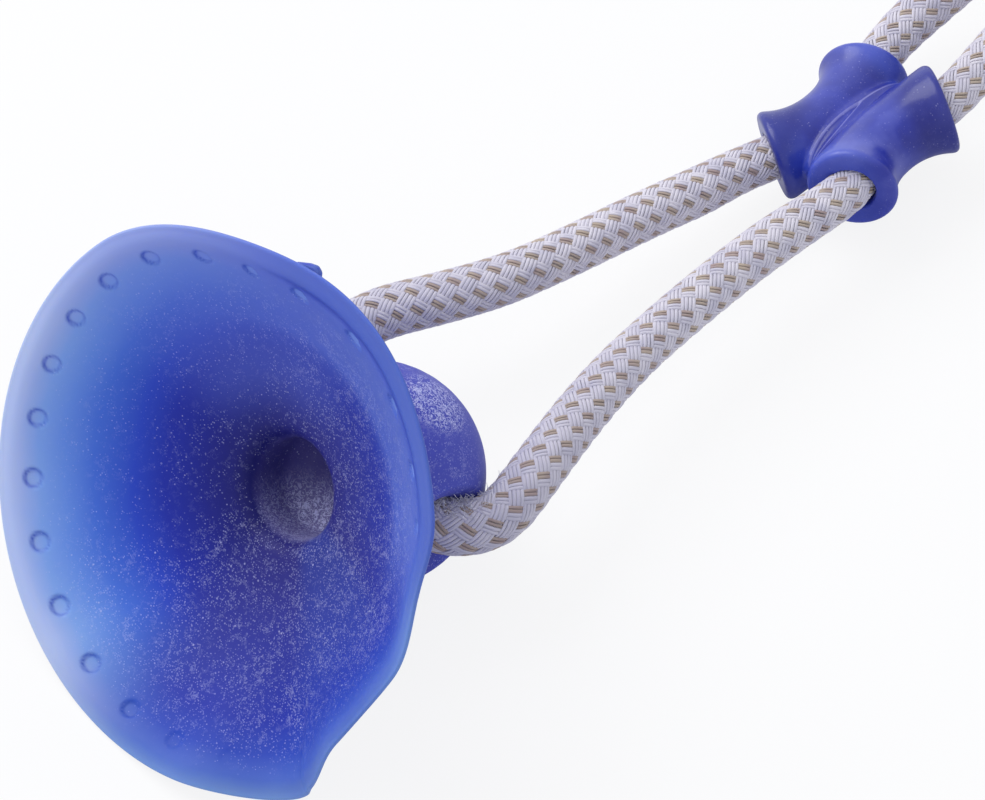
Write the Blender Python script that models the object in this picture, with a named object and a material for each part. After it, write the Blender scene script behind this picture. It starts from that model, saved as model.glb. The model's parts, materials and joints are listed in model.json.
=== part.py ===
"""Suction cup dog toy, lying as it does on a table.

A soft suction cup with a round knob, one braided rope looped through the knob,
a two-hole slider that gathers the rope, and a chew ball kept on by two knots.
Lengths are in metres. +X runs along the toy from the cup to the ball, +Z is up.
"""
import math

import bmesh
import bpy
from mathutils import Matrix, Vector

# Suction cup
CUP_RADIUS = 0.050
CUP_TURN = math.radians(-3.6)
LIP_THICKNESS = 0.0016
LAND_WIDTH = 0.0020
BOWL_DEPTH = 0.0192
BOWL_ROUNDNESS = 1.9
WALL_THICKNESS = 0.0052
RECESS_RADIUS = 0.0095
RECESS_DEPTH = 0.0135
RECESS_SHOULDER = 0.0024
DIMPLE_COUNT = 25
DIMPLE_RADIUS = 0.00165
DIMPLE_DEPTH = 0.0008
DIMPLE_CIRCLE = 0.0442
TAB_ANGLE = math.radians(84)
TAB_WIDTH = 0.0066
TAB_LENGTH = 0.0105
TAB_THICKNESS = 0.0020
TAB_OVERHANG = 0.0024

# Knob behind the cup
KNOB_RADIUS = 0.020
KNOB_BEHIND_RIM = 0.0423
NECK_RADIUS = 0.0138

# The bent lip: angle and half width in degrees, then shares of the cup radius:
# where the wave starts, how far it bends back and how far it draws in
LIP_WAVE_SHARES = (
    (73, 46, 0.40, 0.040, 0.098),
    (103, 70, 0.88, -0.060, -0.070),
    (161, 18, 0.60, 0.017, 0.060),
    (192, 32, 0.50, 0.000, 0.060),
    (224, 24, 0.45, 0.145, -0.047),
)

# Rope
ROPE_RADIUS = 0.0045
KNOB_CLEARANCE = 0.0008
BEND_RADIUS = 0.0112
BEND_START = 0.0105
JOIN_GAP = 0.0003

# Slider
SLIDER_PLACE = (0.1198, -0.0014)
SLIDER_ROLL = math.radians(-20)
SLIDER_YAW = math.radians(3.7)
SLIDER_HALF_LENGTH = 0.0129
SLIDER_STRAND_OFFSET = 0.0065
SLIDER_SPREAD = math.radians(31)
SLIDER_CLEARANCE = 0.0008
SLIDER_WALL = 0.0017
FLANGE_RADIUS = 0.0091
MOUTH_ROUND = 0.0012
WEB_LENGTH = 0.0130
WEB_THICKNESS = 0.0060

# Chew ball
BALL_RADIUS = 0.035
BALL_ALONG = 0.254
BALL_TILT = math.radians(6)
BALL_STRAND_OFFSET = 0.0050
BALL_BORE_CLEARANCE = 0.0007
BALL_MOUTH_ROUND = 0.0060
NUB_HEIGHT = 0.0026
NUBS_AROUND = 10
NUB_ROWS = 5

# Knots that stop the ball
KNOT_RADIUS = 0.0115
KNOT_LENGTH = 0.0220
KNOT_STANDOFF = 0.0130
KNOT_SPLAY = math.radians(24)
KNOT_TAIL = 0.0140
KNOT_RIDGE = 0.0011
FRAY_RADIUS = 0.0058

CUP_SIDES = 54
LOOP_POINT_SPACING = 1.35 * ROPE_RADIUS
TAIL_POINT_SPACING = 2.2 * ROPE_RADIUS
CUT_OVERRUN = 0.002


def material(name, colour, roughness):
    """A plain surface in one colour."""
    mat = bpy.data.materials.new(name)
    mat.use_nodes = True
    shader = mat.node_tree.nodes["Principled BSDF"]
    shader.inputs["Base Color"].default_value = (*colour, 1.0)
    shader.inputs["Roughness"].default_value = roughness
    shader.inputs["Metallic"].default_value = 0.0
    return mat


def object_from(name, verts, faces, mat=None):
    """A mesh object with its faces pointing out."""
    mesh = bpy.data.meshes.new(name)
    mesh.from_pydata([tuple(v) for v in verts], [], faces)
    shape = bmesh.new()
    shape.from_mesh(mesh)
    bmesh.ops.recalc_face_normals(shape, faces=shape.faces)
    shape.to_mesh(mesh)
    shape.free()
    obj = bpy.data.objects.new(name, mesh)
    bpy.context.collection.objects.link(obj)
    if mat:
        mesh.materials.append(mat)
        mesh.shade_smooth()
        mesh.set_sharp_from_angle(angle=math.radians(40))
    return obj


def skin_rings(rings):
    """Faces over closed rings of equal count, with a fan on each end."""
    sides = len(rings[0])
    verts = [v for ring in rings for v in ring]
    faces = []
    for k in range(len(rings) - 1):
        for i in range(sides):
            j = (i + 1) % sides
            low, high = k * sides, (k + 1) * sides
            faces.append((low + i, low + j, high + j, high + i))
    for start in (0, (len(rings) - 1) * sides):
        verts.append(sum((Vector(v) for v in verts[start:start + sides]), Vector()) / sides)
        hub = len(verts) - 1
        faces += [(start + i, start + (i + 1) % sides, hub) for i in range(sides)]
    return verts, faces


def turned(profile, sides, radius_change=None):
    """Rings about local Z for a profile of (radius, height), without its axis points."""
    rings = []
    for radius, height in profile:
        ring = []
        for i in range(sides):
            angle = 2 * math.pi * i / sides
            r = radius if radius_change is None else radius_change(radius, height, angle)
            ring.append(Vector((r * math.cos(angle), r * math.sin(angle), height)))
        rings.append(ring)
    return rings


def arc(centre, radius, start, end, steps):
    """Points on an arc in the profile plane, both ends included."""
    angles = [start + (end - start) * k / steps for k in range(steps + 1)]
    return [(centre[0] + radius * math.cos(a), centre[1] + radius * math.sin(a)) for a in angles]


def hide_cutter(obj):
    obj.hide_render = True
    obj.display_type = "WIRE"


def use_boolean(target, cutter, operation):
    """Apply one exact Boolean and remove the body it used."""
    step = target.modifiers.new(operation.lower(), "BOOLEAN")
    step.operation = operation
    step.solver = "EXACT"
    step.object = cutter
    hide_cutter(cutter)
    bpy.context.view_layer.update()
    result = target.evaluated_get(bpy.context.evaluated_depsgraph_get())
    mesh = bpy.data.meshes.new_from_object(result)
    old = target.data
    target.modifiers.clear()
    target.data = mesh
    mesh.name = old.name
    bpy.data.meshes.remove(old)
    bpy.data.objects.remove(cutter, do_unlink=True)


def smooth_step(x):
    x = min(max(x, 0.0), 1.0)
    return x * x * (3 - 2 * x)


# How the cup lies: the lip's lowest point and the knob both touch the table

def cup_tilt():
    """Angle of the cup's axis below the horizontal."""
    edge = LIP_THICKNESS / 2
    along = KNOB_BEHIND_RIM - edge
    across = CUP_RADIUS - edge
    lean = math.asin((edge - KNOB_RADIUS) / math.hypot(along, across))
    return math.atan2(across, along) + lean


TILT = cup_tilt()
BACK = Vector((math.cos(TILT) * math.cos(CUP_TURN), math.cos(TILT) * math.sin(CUP_TURN), -math.sin(TILT)))
SIDE = Vector((-math.sin(CUP_TURN), math.cos(CUP_TURN), 0))
UP = BACK.cross(SIDE)


def origin_shift():
    """The knob's place, so that the toy without its rope is centred over the origin."""
    front = -KNOB_BEHIND_RIM * BACK.x - CUP_RADIUS * UP.x
    behind = BALL_ALONG + BALL_RADIUS
    dent = max(share[4] for share in LIP_WAVE_SHARES[2:4]) * CUP_RADIUS
    middle = -KNOB_BEHIND_RIM * BACK.y + dent / 2
    return Vector((-(front + behind) / 2, -middle, 0))


SHIFT = origin_shift()
KNOB_CENTRE = SHIFT + Vector((0, 0, KNOB_RADIUS))
RIM_CENTRE = KNOB_CENTRE - KNOB_BEHIND_RIM * BACK
CUP_FRAME = Matrix.Translation(RIM_CENTRE) @ Matrix((SIDE, UP, BACK)).transposed().to_4x4()


# Suction cup, in its own frame: Z from the rim plane towards the knob

LAND_INNER = CUP_RADIUS - LIP_THICKNESS / 2 - LAND_WIDTH


def bowl_share(radius):
    share = (radius - RECESS_RADIUS) / (LAND_INNER - RECESS_RADIUS)
    return min(max(share, 0.0), 1.0)


def bowl_height(radius):
    """Inner surface of the bowl behind the rim plane."""
    return BOWL_DEPTH * (1 - bowl_share(radius) ** BOWL_ROUNDNESS)


def back_height(radius):
    """Outer surface of the bowl behind the rim plane."""
    gain = (WALL_THICKNESS - LIP_THICKNESS) * (1 - bowl_share(radius))
    return bowl_height(radius) + LIP_THICKNESS + gain


def cup_profile():
    """From the recess floor over the bowl and lip to the back of the knob."""
    floor = BOWL_DEPTH + RECESS_DEPTH
    corner = RECESS_RADIUS * 0.55
    points = arc((RECESS_RADIUS - corner, floor - corner), corner, math.pi / 2, 0, 4)
    points[0] = (points[0][0], floor)
    shoulder = (RECESS_RADIUS + RECESS_SHOULDER, BOWL_DEPTH + RECESS_SHOULDER)
    points += arc(shoulder, RECESS_SHOULDER, math.pi, 1.5 * math.pi, 3)
    inner_start = RECESS_RADIUS + RECESS_SHOULDER
    for k in range(1, 11):
        radius = inner_start + (LAND_INNER - inner_start) * k / 10
        points.append((radius, bowl_height(radius)))
    edge = LIP_THICKNESS / 2
    points += arc((CUP_RADIUS - edge, edge), edge, -math.pi / 2, math.pi / 2, 4)
    neck_start = NECK_RADIUS + LIP_THICKNESS
    for k in range(1, 9):
        radius = LAND_INNER - (LAND_INNER - neck_start) * k / 8
        points.append((radius, back_height(radius)))
    start = math.acos(NECK_RADIUS / KNOB_RADIUS)
    neck = KNOB_BEHIND_RIM - KNOB_RADIUS * math.sin(start)
    points.append((NECK_RADIUS, (neck + back_height(neck_start)) / 2))
    points += arc((0, KNOB_BEHIND_RIM), KNOB_RADIUS, -start, math.radians(82), 11)
    return points


def rope_hole():
    """Spindle along the cup's X with a flared mouth on each side, round the bent rope."""
    flare = BEND_RADIUS - ROPE_RADIUS - KNOB_CLEARANCE
    half = arc((BEND_RADIUS, BEND_START), flare, math.pi, math.pi / 2, 6)
    end = half[-1]
    half.append((end[0] + CUT_OVERRUN, max(end[1], KNOB_RADIUS) + CUT_OVERRUN))
    profile = [(r, -h) for r, h in reversed(half)] + half
    verts, faces = skin_rings(turned(profile, 24))
    cutter = object_from("rope_hole_cutter", verts, faces)
    turn = Matrix.Rotation(math.pi / 2, 4, "Y")
    cutter.data.transform(Matrix.Translation((0, 0, KNOB_BEHIND_RIM)) @ turn)
    return cutter


def dimples():
    """A ring of round, flat-bottomed recesses square to the bowl just inside the lip."""
    step = DIMPLE_RADIUS / 2
    slope = (bowl_height(DIMPLE_CIRCLE + step) - bowl_height(DIMPLE_CIRCLE - step)) / (2 * step)
    lean = math.atan(slope)
    shape = bmesh.new()
    for k in range(DIMPLE_COUNT):
        angle = 2 * math.pi * (k + 0.5) / DIMPLE_COUNT
        place = (Matrix.Rotation(angle, 4, "Z")
                 @ Matrix.Translation((DIMPLE_CIRCLE, 0, bowl_height(DIMPLE_CIRCLE)))
                 @ Matrix.Rotation(-lean, 4, "Y"))
        bmesh.ops.create_cone(shape, cap_ends=True, segments=10, radius1=DIMPLE_RADIUS,
                              radius2=DIMPLE_RADIUS, depth=2 * DIMPLE_DEPTH, matrix=place)
    mesh = bpy.data.meshes.new("dimple_cutter")
    shape.to_mesh(mesh)
    shape.free()
    cutter = bpy.data.objects.new("dimple_cutter", mesh)
    bpy.context.collection.objects.link(cutter)
    return cutter


def pull_tab():
    """A small round-ended tongue on the back of the lip."""
    half = TAB_WIDTH / 2
    tip = CUP_RADIUS + TAB_OVERHANG - half
    root = CUP_RADIUS + TAB_OVERHANG - TAB_LENGTH
    outline = [(root, half), (root, -half)] + arc((tip, 0), half, -math.pi / 2, math.pi / 2, 8)
    low = LIP_THICKNESS
    rise = (back_height(root) - low) / (tip - root)
    rings = []
    for side in (0, TAB_THICKNESS):
        ring = [Vector((x, y, low + rise * (tip - x) - side)) for x, y in outline]
        rings.append(ring)
    verts, faces = skin_rings(rings)
    tab = object_from("pull_tab_body", verts, faces)
    tab.data.transform(Matrix.Rotation(TAB_ANGLE, 4, "Z") @ Matrix.Translation((0, 0, TAB_THICKNESS * 0.4)))
    return tab


def bend_lip(point):
    """The soft lip's folds and curls, none on the side that still lies flat."""
    radius = math.hypot(point.x, point.y)
    if radius == 0:
        return point
    angle = math.degrees(math.atan2(point.y, point.x))
    back = 0
    inward = 0
    for centre, half_width, start, back_share, in_share in LIP_WAVE_SHARES:
        away = abs((angle - centre + 180) % 360 - 180)
        if away < half_width:
            wave = math.cos(math.pi / 2 * away / half_width) ** 2
            reach = min(max((radius / CUP_RADIUS - start) / (1 - start), 0.0), 1.0) ** 1.5
            back += wave * reach * back_share * CUP_RADIUS
            inward += wave * reach * in_share * CUP_RADIUS
    keep = (radius - inward) / radius
    fade = 1 - smooth_step((point.z - BOWL_DEPTH) / BOWL_DEPTH)
    shift = Vector((point.x * keep, point.y * keep, point.z + back)) - point
    return point + shift * fade


def build_cup(mat):
    verts, faces = skin_rings(turned(cup_profile(), CUP_SIDES))
    cup = object_from("suction_cup", verts, faces)
    use_boolean(cup, dimples(), "DIFFERENCE")
    use_boolean(cup, rope_hole(), "DIFFERENCE")
    use_boolean(cup, pull_tab(), "UNION")
    for vert in cup.data.vertices:
        vert.co = bend_lip(vert.co.copy())
    cup.matrix_world = CUP_FRAME
    cup.data.materials.clear()
    cup.data.materials.append(mat)
    cup.data.shade_smooth()
    cup.data.set_sharp_from_angle(angle=math.radians(40))
    return cup


# Slider: two arched tubes fused back to back, with flanged mouths turned outwards

SLIDER_ARC = SLIDER_HALF_LENGTH / math.sin(SLIDER_SPREAD)
SLIDER_BORE = ROPE_RADIUS + SLIDER_CLEARANCE
SLIDER_TUBE = SLIDER_BORE + SLIDER_WALL
MOUTH_OFFSET = SLIDER_STRAND_OFFSET + SLIDER_ARC * (1 - math.cos(SLIDER_SPREAD))


def slider_frame():
    """The slider lies on the flanges of its lower strand."""
    drop = MOUTH_OFFSET * math.sin(abs(SLIDER_ROLL))
    facing = math.sin(SLIDER_SPREAD) * math.sin(abs(SLIDER_ROLL))
    height = drop + FLANGE_RADIUS * math.sqrt(1 - facing ** 2)
    place = SHIFT + Vector((*SLIDER_PLACE, height))
    return Matrix.Translation(place) @ Matrix.Rotation(SLIDER_YAW, 4, "Z") @ Matrix.Rotation(SLIDER_ROLL, 4, "X")


SLIDER_FRAME = slider_frame()


def strand_place(angle, side):
    """Point and direction on a slider strand's arc; the angle is 0 at the waist."""
    offset = SLIDER_STRAND_OFFSET + SLIDER_ARC * (1 - math.cos(angle))
    point = Vector((SLIDER_ARC * math.sin(angle), side * offset, 0))
    return point, Vector((math.cos(angle), side * math.sin(angle), 0))


def arched_tube(name, side, radius_at, overrun, steps=8):
    """A round bar along one strand's arc, its radius given by the share of the half length."""
    sides = 16
    rings = []
    for k in range(-steps, steps + 1):
        share = k / steps
        point, ahead = strand_place(SLIDER_SPREAD * share, side)
        if abs(k) == steps:
            point = point + ahead * overrun * share
        across = Vector((-ahead.y, ahead.x, 0))
        radius = radius_at(abs(share))
        angles = [2 * math.pi * (i + 0.25 * side) / sides for i in range(sides)]
        rings.append([point + radius * (across * math.cos(a) + Vector((0, 0, math.sin(a)))) for a in angles])
    return object_from(name, *skin_rings(rings))


def outer_radius(share):
    return SLIDER_TUBE + (FLANGE_RADIUS - SLIDER_TUBE) * share ** 2.2


def bore_radius(share):
    return SLIDER_BORE + MOUTH_ROUND * max((share - 0.8) / 0.2, 0.0) ** 2


def web():
    """The block that fuses the two tubes at their waist."""
    shape = bmesh.new()
    size = Matrix.Diagonal((WEB_LENGTH, 2 * SLIDER_STRAND_OFFSET, WEB_THICKNESS, 1))
    bmesh.ops.create_cube(shape, size=1, matrix=size)
    mesh = bpy.data.meshes.new("web_body")
    shape.to_mesh(mesh)
    shape.free()
    obj = bpy.data.objects.new("web_body", mesh)
    bpy.context.collection.objects.link(obj)
    return obj


def build_slider(mat):
    slider = arched_tube("rope_slider", 1, outer_radius, 0)
    use_boolean(slider, web(), "UNION")
    use_boolean(slider, arched_tube("second_tube", -1, outer_radius, 0, 7), "UNION")
    for side in (1, -1):
        use_boolean(slider, arched_tube("bore_cutter", side, bore_radius, CUT_OVERRUN), "DIFFERENCE")
    slider.matrix_world = SLIDER_FRAME
    slider.data.materials.clear()
    slider.data.materials.append(mat)
    slider.data.shade_smooth()
    slider.data.set_sharp_from_angle(angle=math.radians(40))
    return slider


# Chew ball: rows of rounded nubs round the bore, which holds both strands

BALL_CENTRE = SHIFT + Vector((BALL_ALONG, 0, BALL_RADIUS))
BALL_FRAME = Matrix.Translation(BALL_CENTRE) @ Matrix.Rotation(-BALL_TILT, 4, "Y")
BORE_RADIUS = ROPE_RADIUS + BALL_BORE_CLEARANCE


def build_ball(mat):
    rows = 6 * NUB_ROWS
    sides = 6 * NUBS_AROUND
    rings = []
    for k in range(1, rows):
        latitude = math.pi * k / rows
        row_wave = math.sin(NUB_ROWS * latitude) ** 2
        pole_fade = smooth_step(math.sin(latitude) * 3 - 1.2)
        turn = math.pi * math.floor(NUB_ROWS * latitude / math.pi) / NUBS_AROUND
        ring = []
        for i in range(sides):
            angle = 2 * math.pi * i / sides
            nub_wave = math.cos(NUBS_AROUND / 2 * (angle - turn)) ** 2
            dip = NUB_HEIGHT * (1 - row_wave * nub_wave) * pole_fade
            radius = BALL_RADIUS - dip
            ring.append(Vector((radius * math.cos(latitude),
                                radius * math.sin(latitude) * math.cos(angle),
                                radius * math.sin(latitude) * math.sin(angle))))
        rings.append(ring)
    ball = object_from("chew_ball", *skin_rings(rings))
    use_boolean(ball, ball_bore(), "DIFFERENCE")
    ball.matrix_world = BALL_FRAME
    ball.data.materials.clear()
    ball.data.materials.append(mat)
    ball.data.shade_smooth()
    ball.data.set_sharp_from_angle(angle=math.radians(60))
    return ball


def ball_bore():
    """Long round hole through the ball with a rounded mouth at each end."""
    sides = 20
    steps = 5
    rings = []
    straight = BALL_RADIUS - BALL_MOUTH_ROUND
    trumpet = [(straight + BALL_MOUTH_ROUND * math.sin(a), BALL_MOUTH_ROUND * (1 - math.cos(a)))
               for a in (math.pi / 2 * k / steps for k in range(steps + 1))]
    trumpet.append((BALL_RADIUS + CUT_OVERRUN, BALL_MOUTH_ROUND + CUT_OVERRUN))
    stations = [(-along, grow) for along, grow in reversed(trumpet)] + trumpet
    for along, grow in stations:
        radius = BORE_RADIUS + grow
        ring = []
        for i in range(sides):
            angle = 2 * math.pi * (i + 0.5) / sides
            shift = BALL_STRAND_OFFSET if math.cos(angle) > 0 else -BALL_STRAND_OFFSET
            ring.append(Vector((along, shift + radius * math.cos(angle), radius * math.sin(angle))))
        rings.append(ring)
    return object_from("ball_bore_cutter", *skin_rings(rings))


# Rope: its route is a list of places in millimetres from the point on the table under
# the knob's centre; the loop runs from the slider round through the knob and back

MM = 0.001
LOOP_LEFT = (
    (98.8, 9.0, 9.6), (90.9, 9.9, 10.5), (81.8, 11.3, 12.0), (72.8, 12.4, 13.5), (63.2, 13.3, 15.4),
    (53.9, 14.3, 17.3), (45.0, 16.0, 18.8), (33.6, 20.4, 19.8), (24.0, 24.8, 20.0), (16.0, 25.4, 20.0),
    (8.9, 22.6, 20.0), (3.2, 17.4, 20.0),
)
LOOP_RIGHT = (
    (17.6, -20.8, 20.0), (23.6, -19.1, 20.0), (36.4, -15.4, 19.3), (50.4, -12.6, 18.5), (67.4, -11.0, 17.5),
    (83.4, -10.3, 16.6), (92.5, -10.6, 16.4), (100.5, -11.3, 16.2),
)
TAIL_LEFT = (
    (140.0, 10.6, 9.6), (146.5, 10.8, 11.2), (155.0, 9.8, 14.2), (167.0, 7.6, 19.2),
    (180.0, 5.8, 24.4), (192.0, 5.1, 28.0),
)
TAIL_RIGHT = (
    (140.5, -9.2, 17.0), (148.5, -8.4, 18.0), (158.0, -7.4, 19.8), (169.0, -6.3, 22.6),
    (181.0, -5.4, 25.8), (192.0, -5.0, 28.2),
)

BORE_ROUTE_SHARES = ((-1.45, 1), (-0.7, 1), (0, 1), (0.5, 1), (0.76, 1), (0.95, 1.1), (1.12, 1.36))


def on_route(points):
    return [SHIFT + Vector(point) * MM for point in points]


def smooth_route(points, spacing, leaving, arriving):
    """Evenly spaced places on a smooth curve through the given ones, with short straight ends."""
    dense = []
    last = len(points) - 1
    slopes = []
    for k in range(last + 1):
        before, after = points[max(k - 1, 0)], points[min(k + 1, last)]
        length = (points[k] - before).length + (after - points[k]).length
        slopes.append((after - before) / length)
    slopes[0], slopes[-1] = leaving, arriving
    for k in range(last):
        start, end = points[k], points[k + 1]
        length = (end - start).length
        for step in range(12):
            t = step / 12
            leave = slopes[k] * length * t * (1 - t) ** 2
            arrive = slopes[k + 1] * length * t ** 2 * (t - 1)
            dense.append(start.lerp(end, smooth_step(t)) + leave + arrive)
    dense.append(points[-1])
    travelled = [0.0]
    for a, b in zip(dense, dense[1:]):
        travelled.append(travelled[-1] + (b - a).length)
    count = max(round(travelled[-1] / spacing), 2)
    route = []
    k = 0
    for i in range(count + 1):
        goal = travelled[-1] * i / count
        while k < len(dense) - 2 and travelled[k + 1] < goal:
            k += 1
        share = (goal - travelled[k]) / (travelled[k + 1] - travelled[k])
        route.append(dense[k].lerp(dense[k + 1], share))
    stub = ROPE_RADIUS / 2
    return [route[0], route[0] + leaving * stub] + route[1:-1] + [route[-1] - arriving * stub, route[-1]]


def slider_strand(start, end, side, steps=3):
    """Rope places inside the slider, in shares of the half length."""
    places = []
    for k in range(steps + 1):
        share = start + (end - start) * k / steps
        places.append(SLIDER_FRAME @ strand_place(SLIDER_SPREAD * share, side)[0])
    return places


def rope_tube(name, places, mat):
    curve = bpy.data.curves.new(name, "CURVE")
    curve.dimensions = "3D"
    curve.bevel_depth = ROPE_RADIUS
    curve.bevel_resolution = 2
    curve.use_fill_caps = True
    spline = curve.splines.new("POLY")
    spline.points.add(len(places) - 1)
    for point, place in zip(spline.points, places):
        point.co = (*place, 1)
    curve.materials.append(mat)
    obj = bpy.data.objects.new(name, curve)
    bpy.context.collection.objects.link(obj)
    return obj


def knob_pass():
    """Through the knob from left to right, and round the right mouth's flare."""
    bend = [Vector((BEND_RADIUS * (1 - math.cos(a)), -BEND_START - BEND_RADIUS * math.sin(a), 0))
            for a in (math.pi * k / 8 for k in range(5))]
    turn = Matrix.Rotation(CUP_TURN, 3, "Z")
    return [KNOB_CENTRE + turn @ p for p in [Vector((0, BEND_START, 0)), Vector((0, 0, 0))] + bend]


def build_loop(mat):
    half_gap = JOIN_GAP / (2 * SLIDER_HALF_LENGTH)
    left = slider_strand(-half_gap, -0.95, 1) + on_route(LOOP_LEFT)
    right = on_route(LOOP_RIGHT) + slider_strand(-0.95, -half_gap, -1)
    along = SLIDER_FRAME.to_3x3().col[0]
    places = smooth_route(left + knob_pass() + right, LOOP_POINT_SPACING, -along, along)
    return rope_tube("rope_loop", places, mat)


def knot_frame(side):
    """The knot's front end, behind the ball and beside the other knot."""
    across = KNOT_RADIUS + KNOT_RIDGE + JOIN_GAP - KNOT_LENGTH / 4 * math.sin(KNOT_SPLAY)
    start = BALL_FRAME @ Vector((BALL_RADIUS + KNOT_STANDOFF, side * across, 0))
    return Matrix.Translation(start) @ Matrix.Rotation(side * KNOT_SPLAY, 4, "Z")


def build_tail(name, route, side, mat):
    half_gap = JOIN_GAP / (2 * SLIDER_HALF_LENGTH)
    places = slider_strand(half_gap, 0.95, side) + on_route(route)
    bore = [Vector((x * BALL_RADIUS, side * y * BALL_STRAND_OFFSET, 0)) for x, y in BORE_ROUTE_SHARES]
    places += [BALL_FRAME @ p for p in bore]
    front = knot_frame(side)
    places += [front @ Vector((-x, 0, 0)) for x in (ROPE_RADIUS, JOIN_GAP)]
    ahead = SLIDER_FRAME.to_3x3().col[0], front.to_3x3().col[0]
    return rope_tube(name, smooth_route(places, TAIL_POINT_SPACING, *ahead), mat)


def build_knot(name, side, mat):
    """An overhand knot's outer shape: two humps of wound rope, then the short frayed end."""
    swell = [(ROPE_RADIUS, 0)]
    for k in range(1, 10):
        share = k / 10
        hump = math.sin(math.pi * share) ** 0.55 * (1 - 0.14 * math.cos(4 * math.pi * share))
        swell.append((ROPE_RADIUS + (KNOT_RADIUS - ROPE_RADIUS) * hump, KNOT_LENGTH * share))
    swell.append((ROPE_RADIUS, KNOT_LENGTH))
    tail_end = KNOT_LENGTH + KNOT_TAIL
    profile = swell + [(ROPE_RADIUS, tail_end - KNOT_TAIL / 3), (FRAY_RADIUS, tail_end)]

    def lay(radius, height, angle):
        share = min(height / KNOT_LENGTH, 1)
        ridge = KNOT_RIDGE * math.sin(math.pi * share) ** 2
        return radius + ridge * math.cos(2 * angle + 2 * math.pi * share)

    verts, faces = skin_rings(turned(profile, 16, lay))
    knot = object_from(name, verts, faces, mat)
    knot.matrix_world = knot_frame(side) @ Matrix.Rotation(math.pi / 2, 4, "Y")
    return knot


def main():
    for obj in list(bpy.data.objects):
        bpy.data.objects.remove(obj, do_unlink=True)
    cup_rubber = material("cup_rubber", (0.03, 0.07, 0.50), 0.42)
    slider_rubber = material("slider_rubber", (0.03, 0.04, 0.38), 0.30)
    ball_rubber = material("ball_rubber", (0.03, 0.06, 0.45), 0.40)
    rope_yarn = material("rope_yarn", (0.62, 0.62, 0.72), 0.90)
    build_cup(cup_rubber)
    build_slider(slider_rubber)
    build_ball(ball_rubber)
    build_loop(rope_yarn)
    build_tail("rope_tail_left", TAIL_LEFT, 1, rope_yarn)
    build_tail("rope_tail_right", TAIL_RIGHT, -1, rope_yarn)
    build_knot("rope_knot_left", 1, rope_yarn)
    build_knot("rope_knot_right", -1, rope_yarn)


main()
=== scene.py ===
"""Suction cup dog toy on a pale table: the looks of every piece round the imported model."""
import itertools
import json
import math

import bpy
import numpy as np
from mathutils import Matrix, Vector


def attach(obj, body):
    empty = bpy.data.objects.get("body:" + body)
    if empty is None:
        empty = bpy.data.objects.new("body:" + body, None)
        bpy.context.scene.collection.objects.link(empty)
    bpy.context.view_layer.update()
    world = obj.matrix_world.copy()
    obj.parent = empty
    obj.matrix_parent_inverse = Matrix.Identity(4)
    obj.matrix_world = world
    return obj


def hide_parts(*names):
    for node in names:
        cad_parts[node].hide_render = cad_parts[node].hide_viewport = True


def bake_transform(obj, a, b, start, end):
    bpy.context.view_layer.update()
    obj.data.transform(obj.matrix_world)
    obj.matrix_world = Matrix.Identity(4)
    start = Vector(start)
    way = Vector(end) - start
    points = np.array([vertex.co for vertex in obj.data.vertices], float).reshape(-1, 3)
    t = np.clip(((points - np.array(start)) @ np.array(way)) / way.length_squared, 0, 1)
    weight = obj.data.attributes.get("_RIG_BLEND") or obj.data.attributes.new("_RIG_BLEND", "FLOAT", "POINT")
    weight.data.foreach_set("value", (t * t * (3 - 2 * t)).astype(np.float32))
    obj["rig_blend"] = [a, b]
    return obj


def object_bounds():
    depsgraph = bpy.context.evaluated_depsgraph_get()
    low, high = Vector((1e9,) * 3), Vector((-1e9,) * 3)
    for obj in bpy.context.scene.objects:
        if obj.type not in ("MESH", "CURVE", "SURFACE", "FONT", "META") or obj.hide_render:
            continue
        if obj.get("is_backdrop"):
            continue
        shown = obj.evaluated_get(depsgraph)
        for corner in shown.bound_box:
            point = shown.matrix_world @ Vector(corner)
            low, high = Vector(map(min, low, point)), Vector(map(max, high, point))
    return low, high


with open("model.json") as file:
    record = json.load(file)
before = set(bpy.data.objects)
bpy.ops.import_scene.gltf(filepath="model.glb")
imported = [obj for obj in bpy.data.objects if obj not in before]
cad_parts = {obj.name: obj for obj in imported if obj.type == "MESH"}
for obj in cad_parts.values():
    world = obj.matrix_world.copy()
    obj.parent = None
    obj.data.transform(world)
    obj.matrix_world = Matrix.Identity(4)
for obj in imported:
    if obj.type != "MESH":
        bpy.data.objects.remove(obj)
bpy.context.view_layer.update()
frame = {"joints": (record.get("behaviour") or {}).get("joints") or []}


# Camera: a long lens looks down on the cup's open side, with the rope running to the upper right.
# Every place below starts from the point on the table under the knob, where the rope swings.

swing = next(joint for joint in frame["joints"] if joint["name"] == "rope_swing")
slide = next(joint for joint in frame["joints"] if joint["name"] == "slider_slide")
knob_centre = Vector(swing["pos_m"])
under_knob = Vector((knob_centre.x, knob_centre.y, 0))

CAMERA_HEADING = math.radians(46.31)
CAMERA_PITCH = math.radians(53.90)
CAMERA_DISTANCE = 1.4
CAMERA_LENS_MM = 285.3
CAMERA_AIM = under_knob + Vector((0.0363, 0.0075, 0))

look = Vector((math.cos(CAMERA_HEADING) * math.cos(CAMERA_PITCH),
               math.sin(CAMERA_HEADING) * math.cos(CAMERA_PITCH), -math.sin(CAMERA_PITCH)))
bpy.ops.object.camera_add(location=CAMERA_AIM - CAMERA_DISTANCE * look,
                          rotation=look.to_track_quat("-Z", "Y").to_euler())
camera = bpy.context.object
camera.name = "camera"
camera.data.lens = CAMERA_LENS_MM
bpy.context.scene.camera = camera


# Rope: one white cotton rope, 9 mm thick, braided from ribbons of four yarns round a core, two of
# them tan in the ribbons that run one way. Its loop passes through the knob and the slider gathers
# it, and both ends run on through the ball to their own knots.

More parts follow.
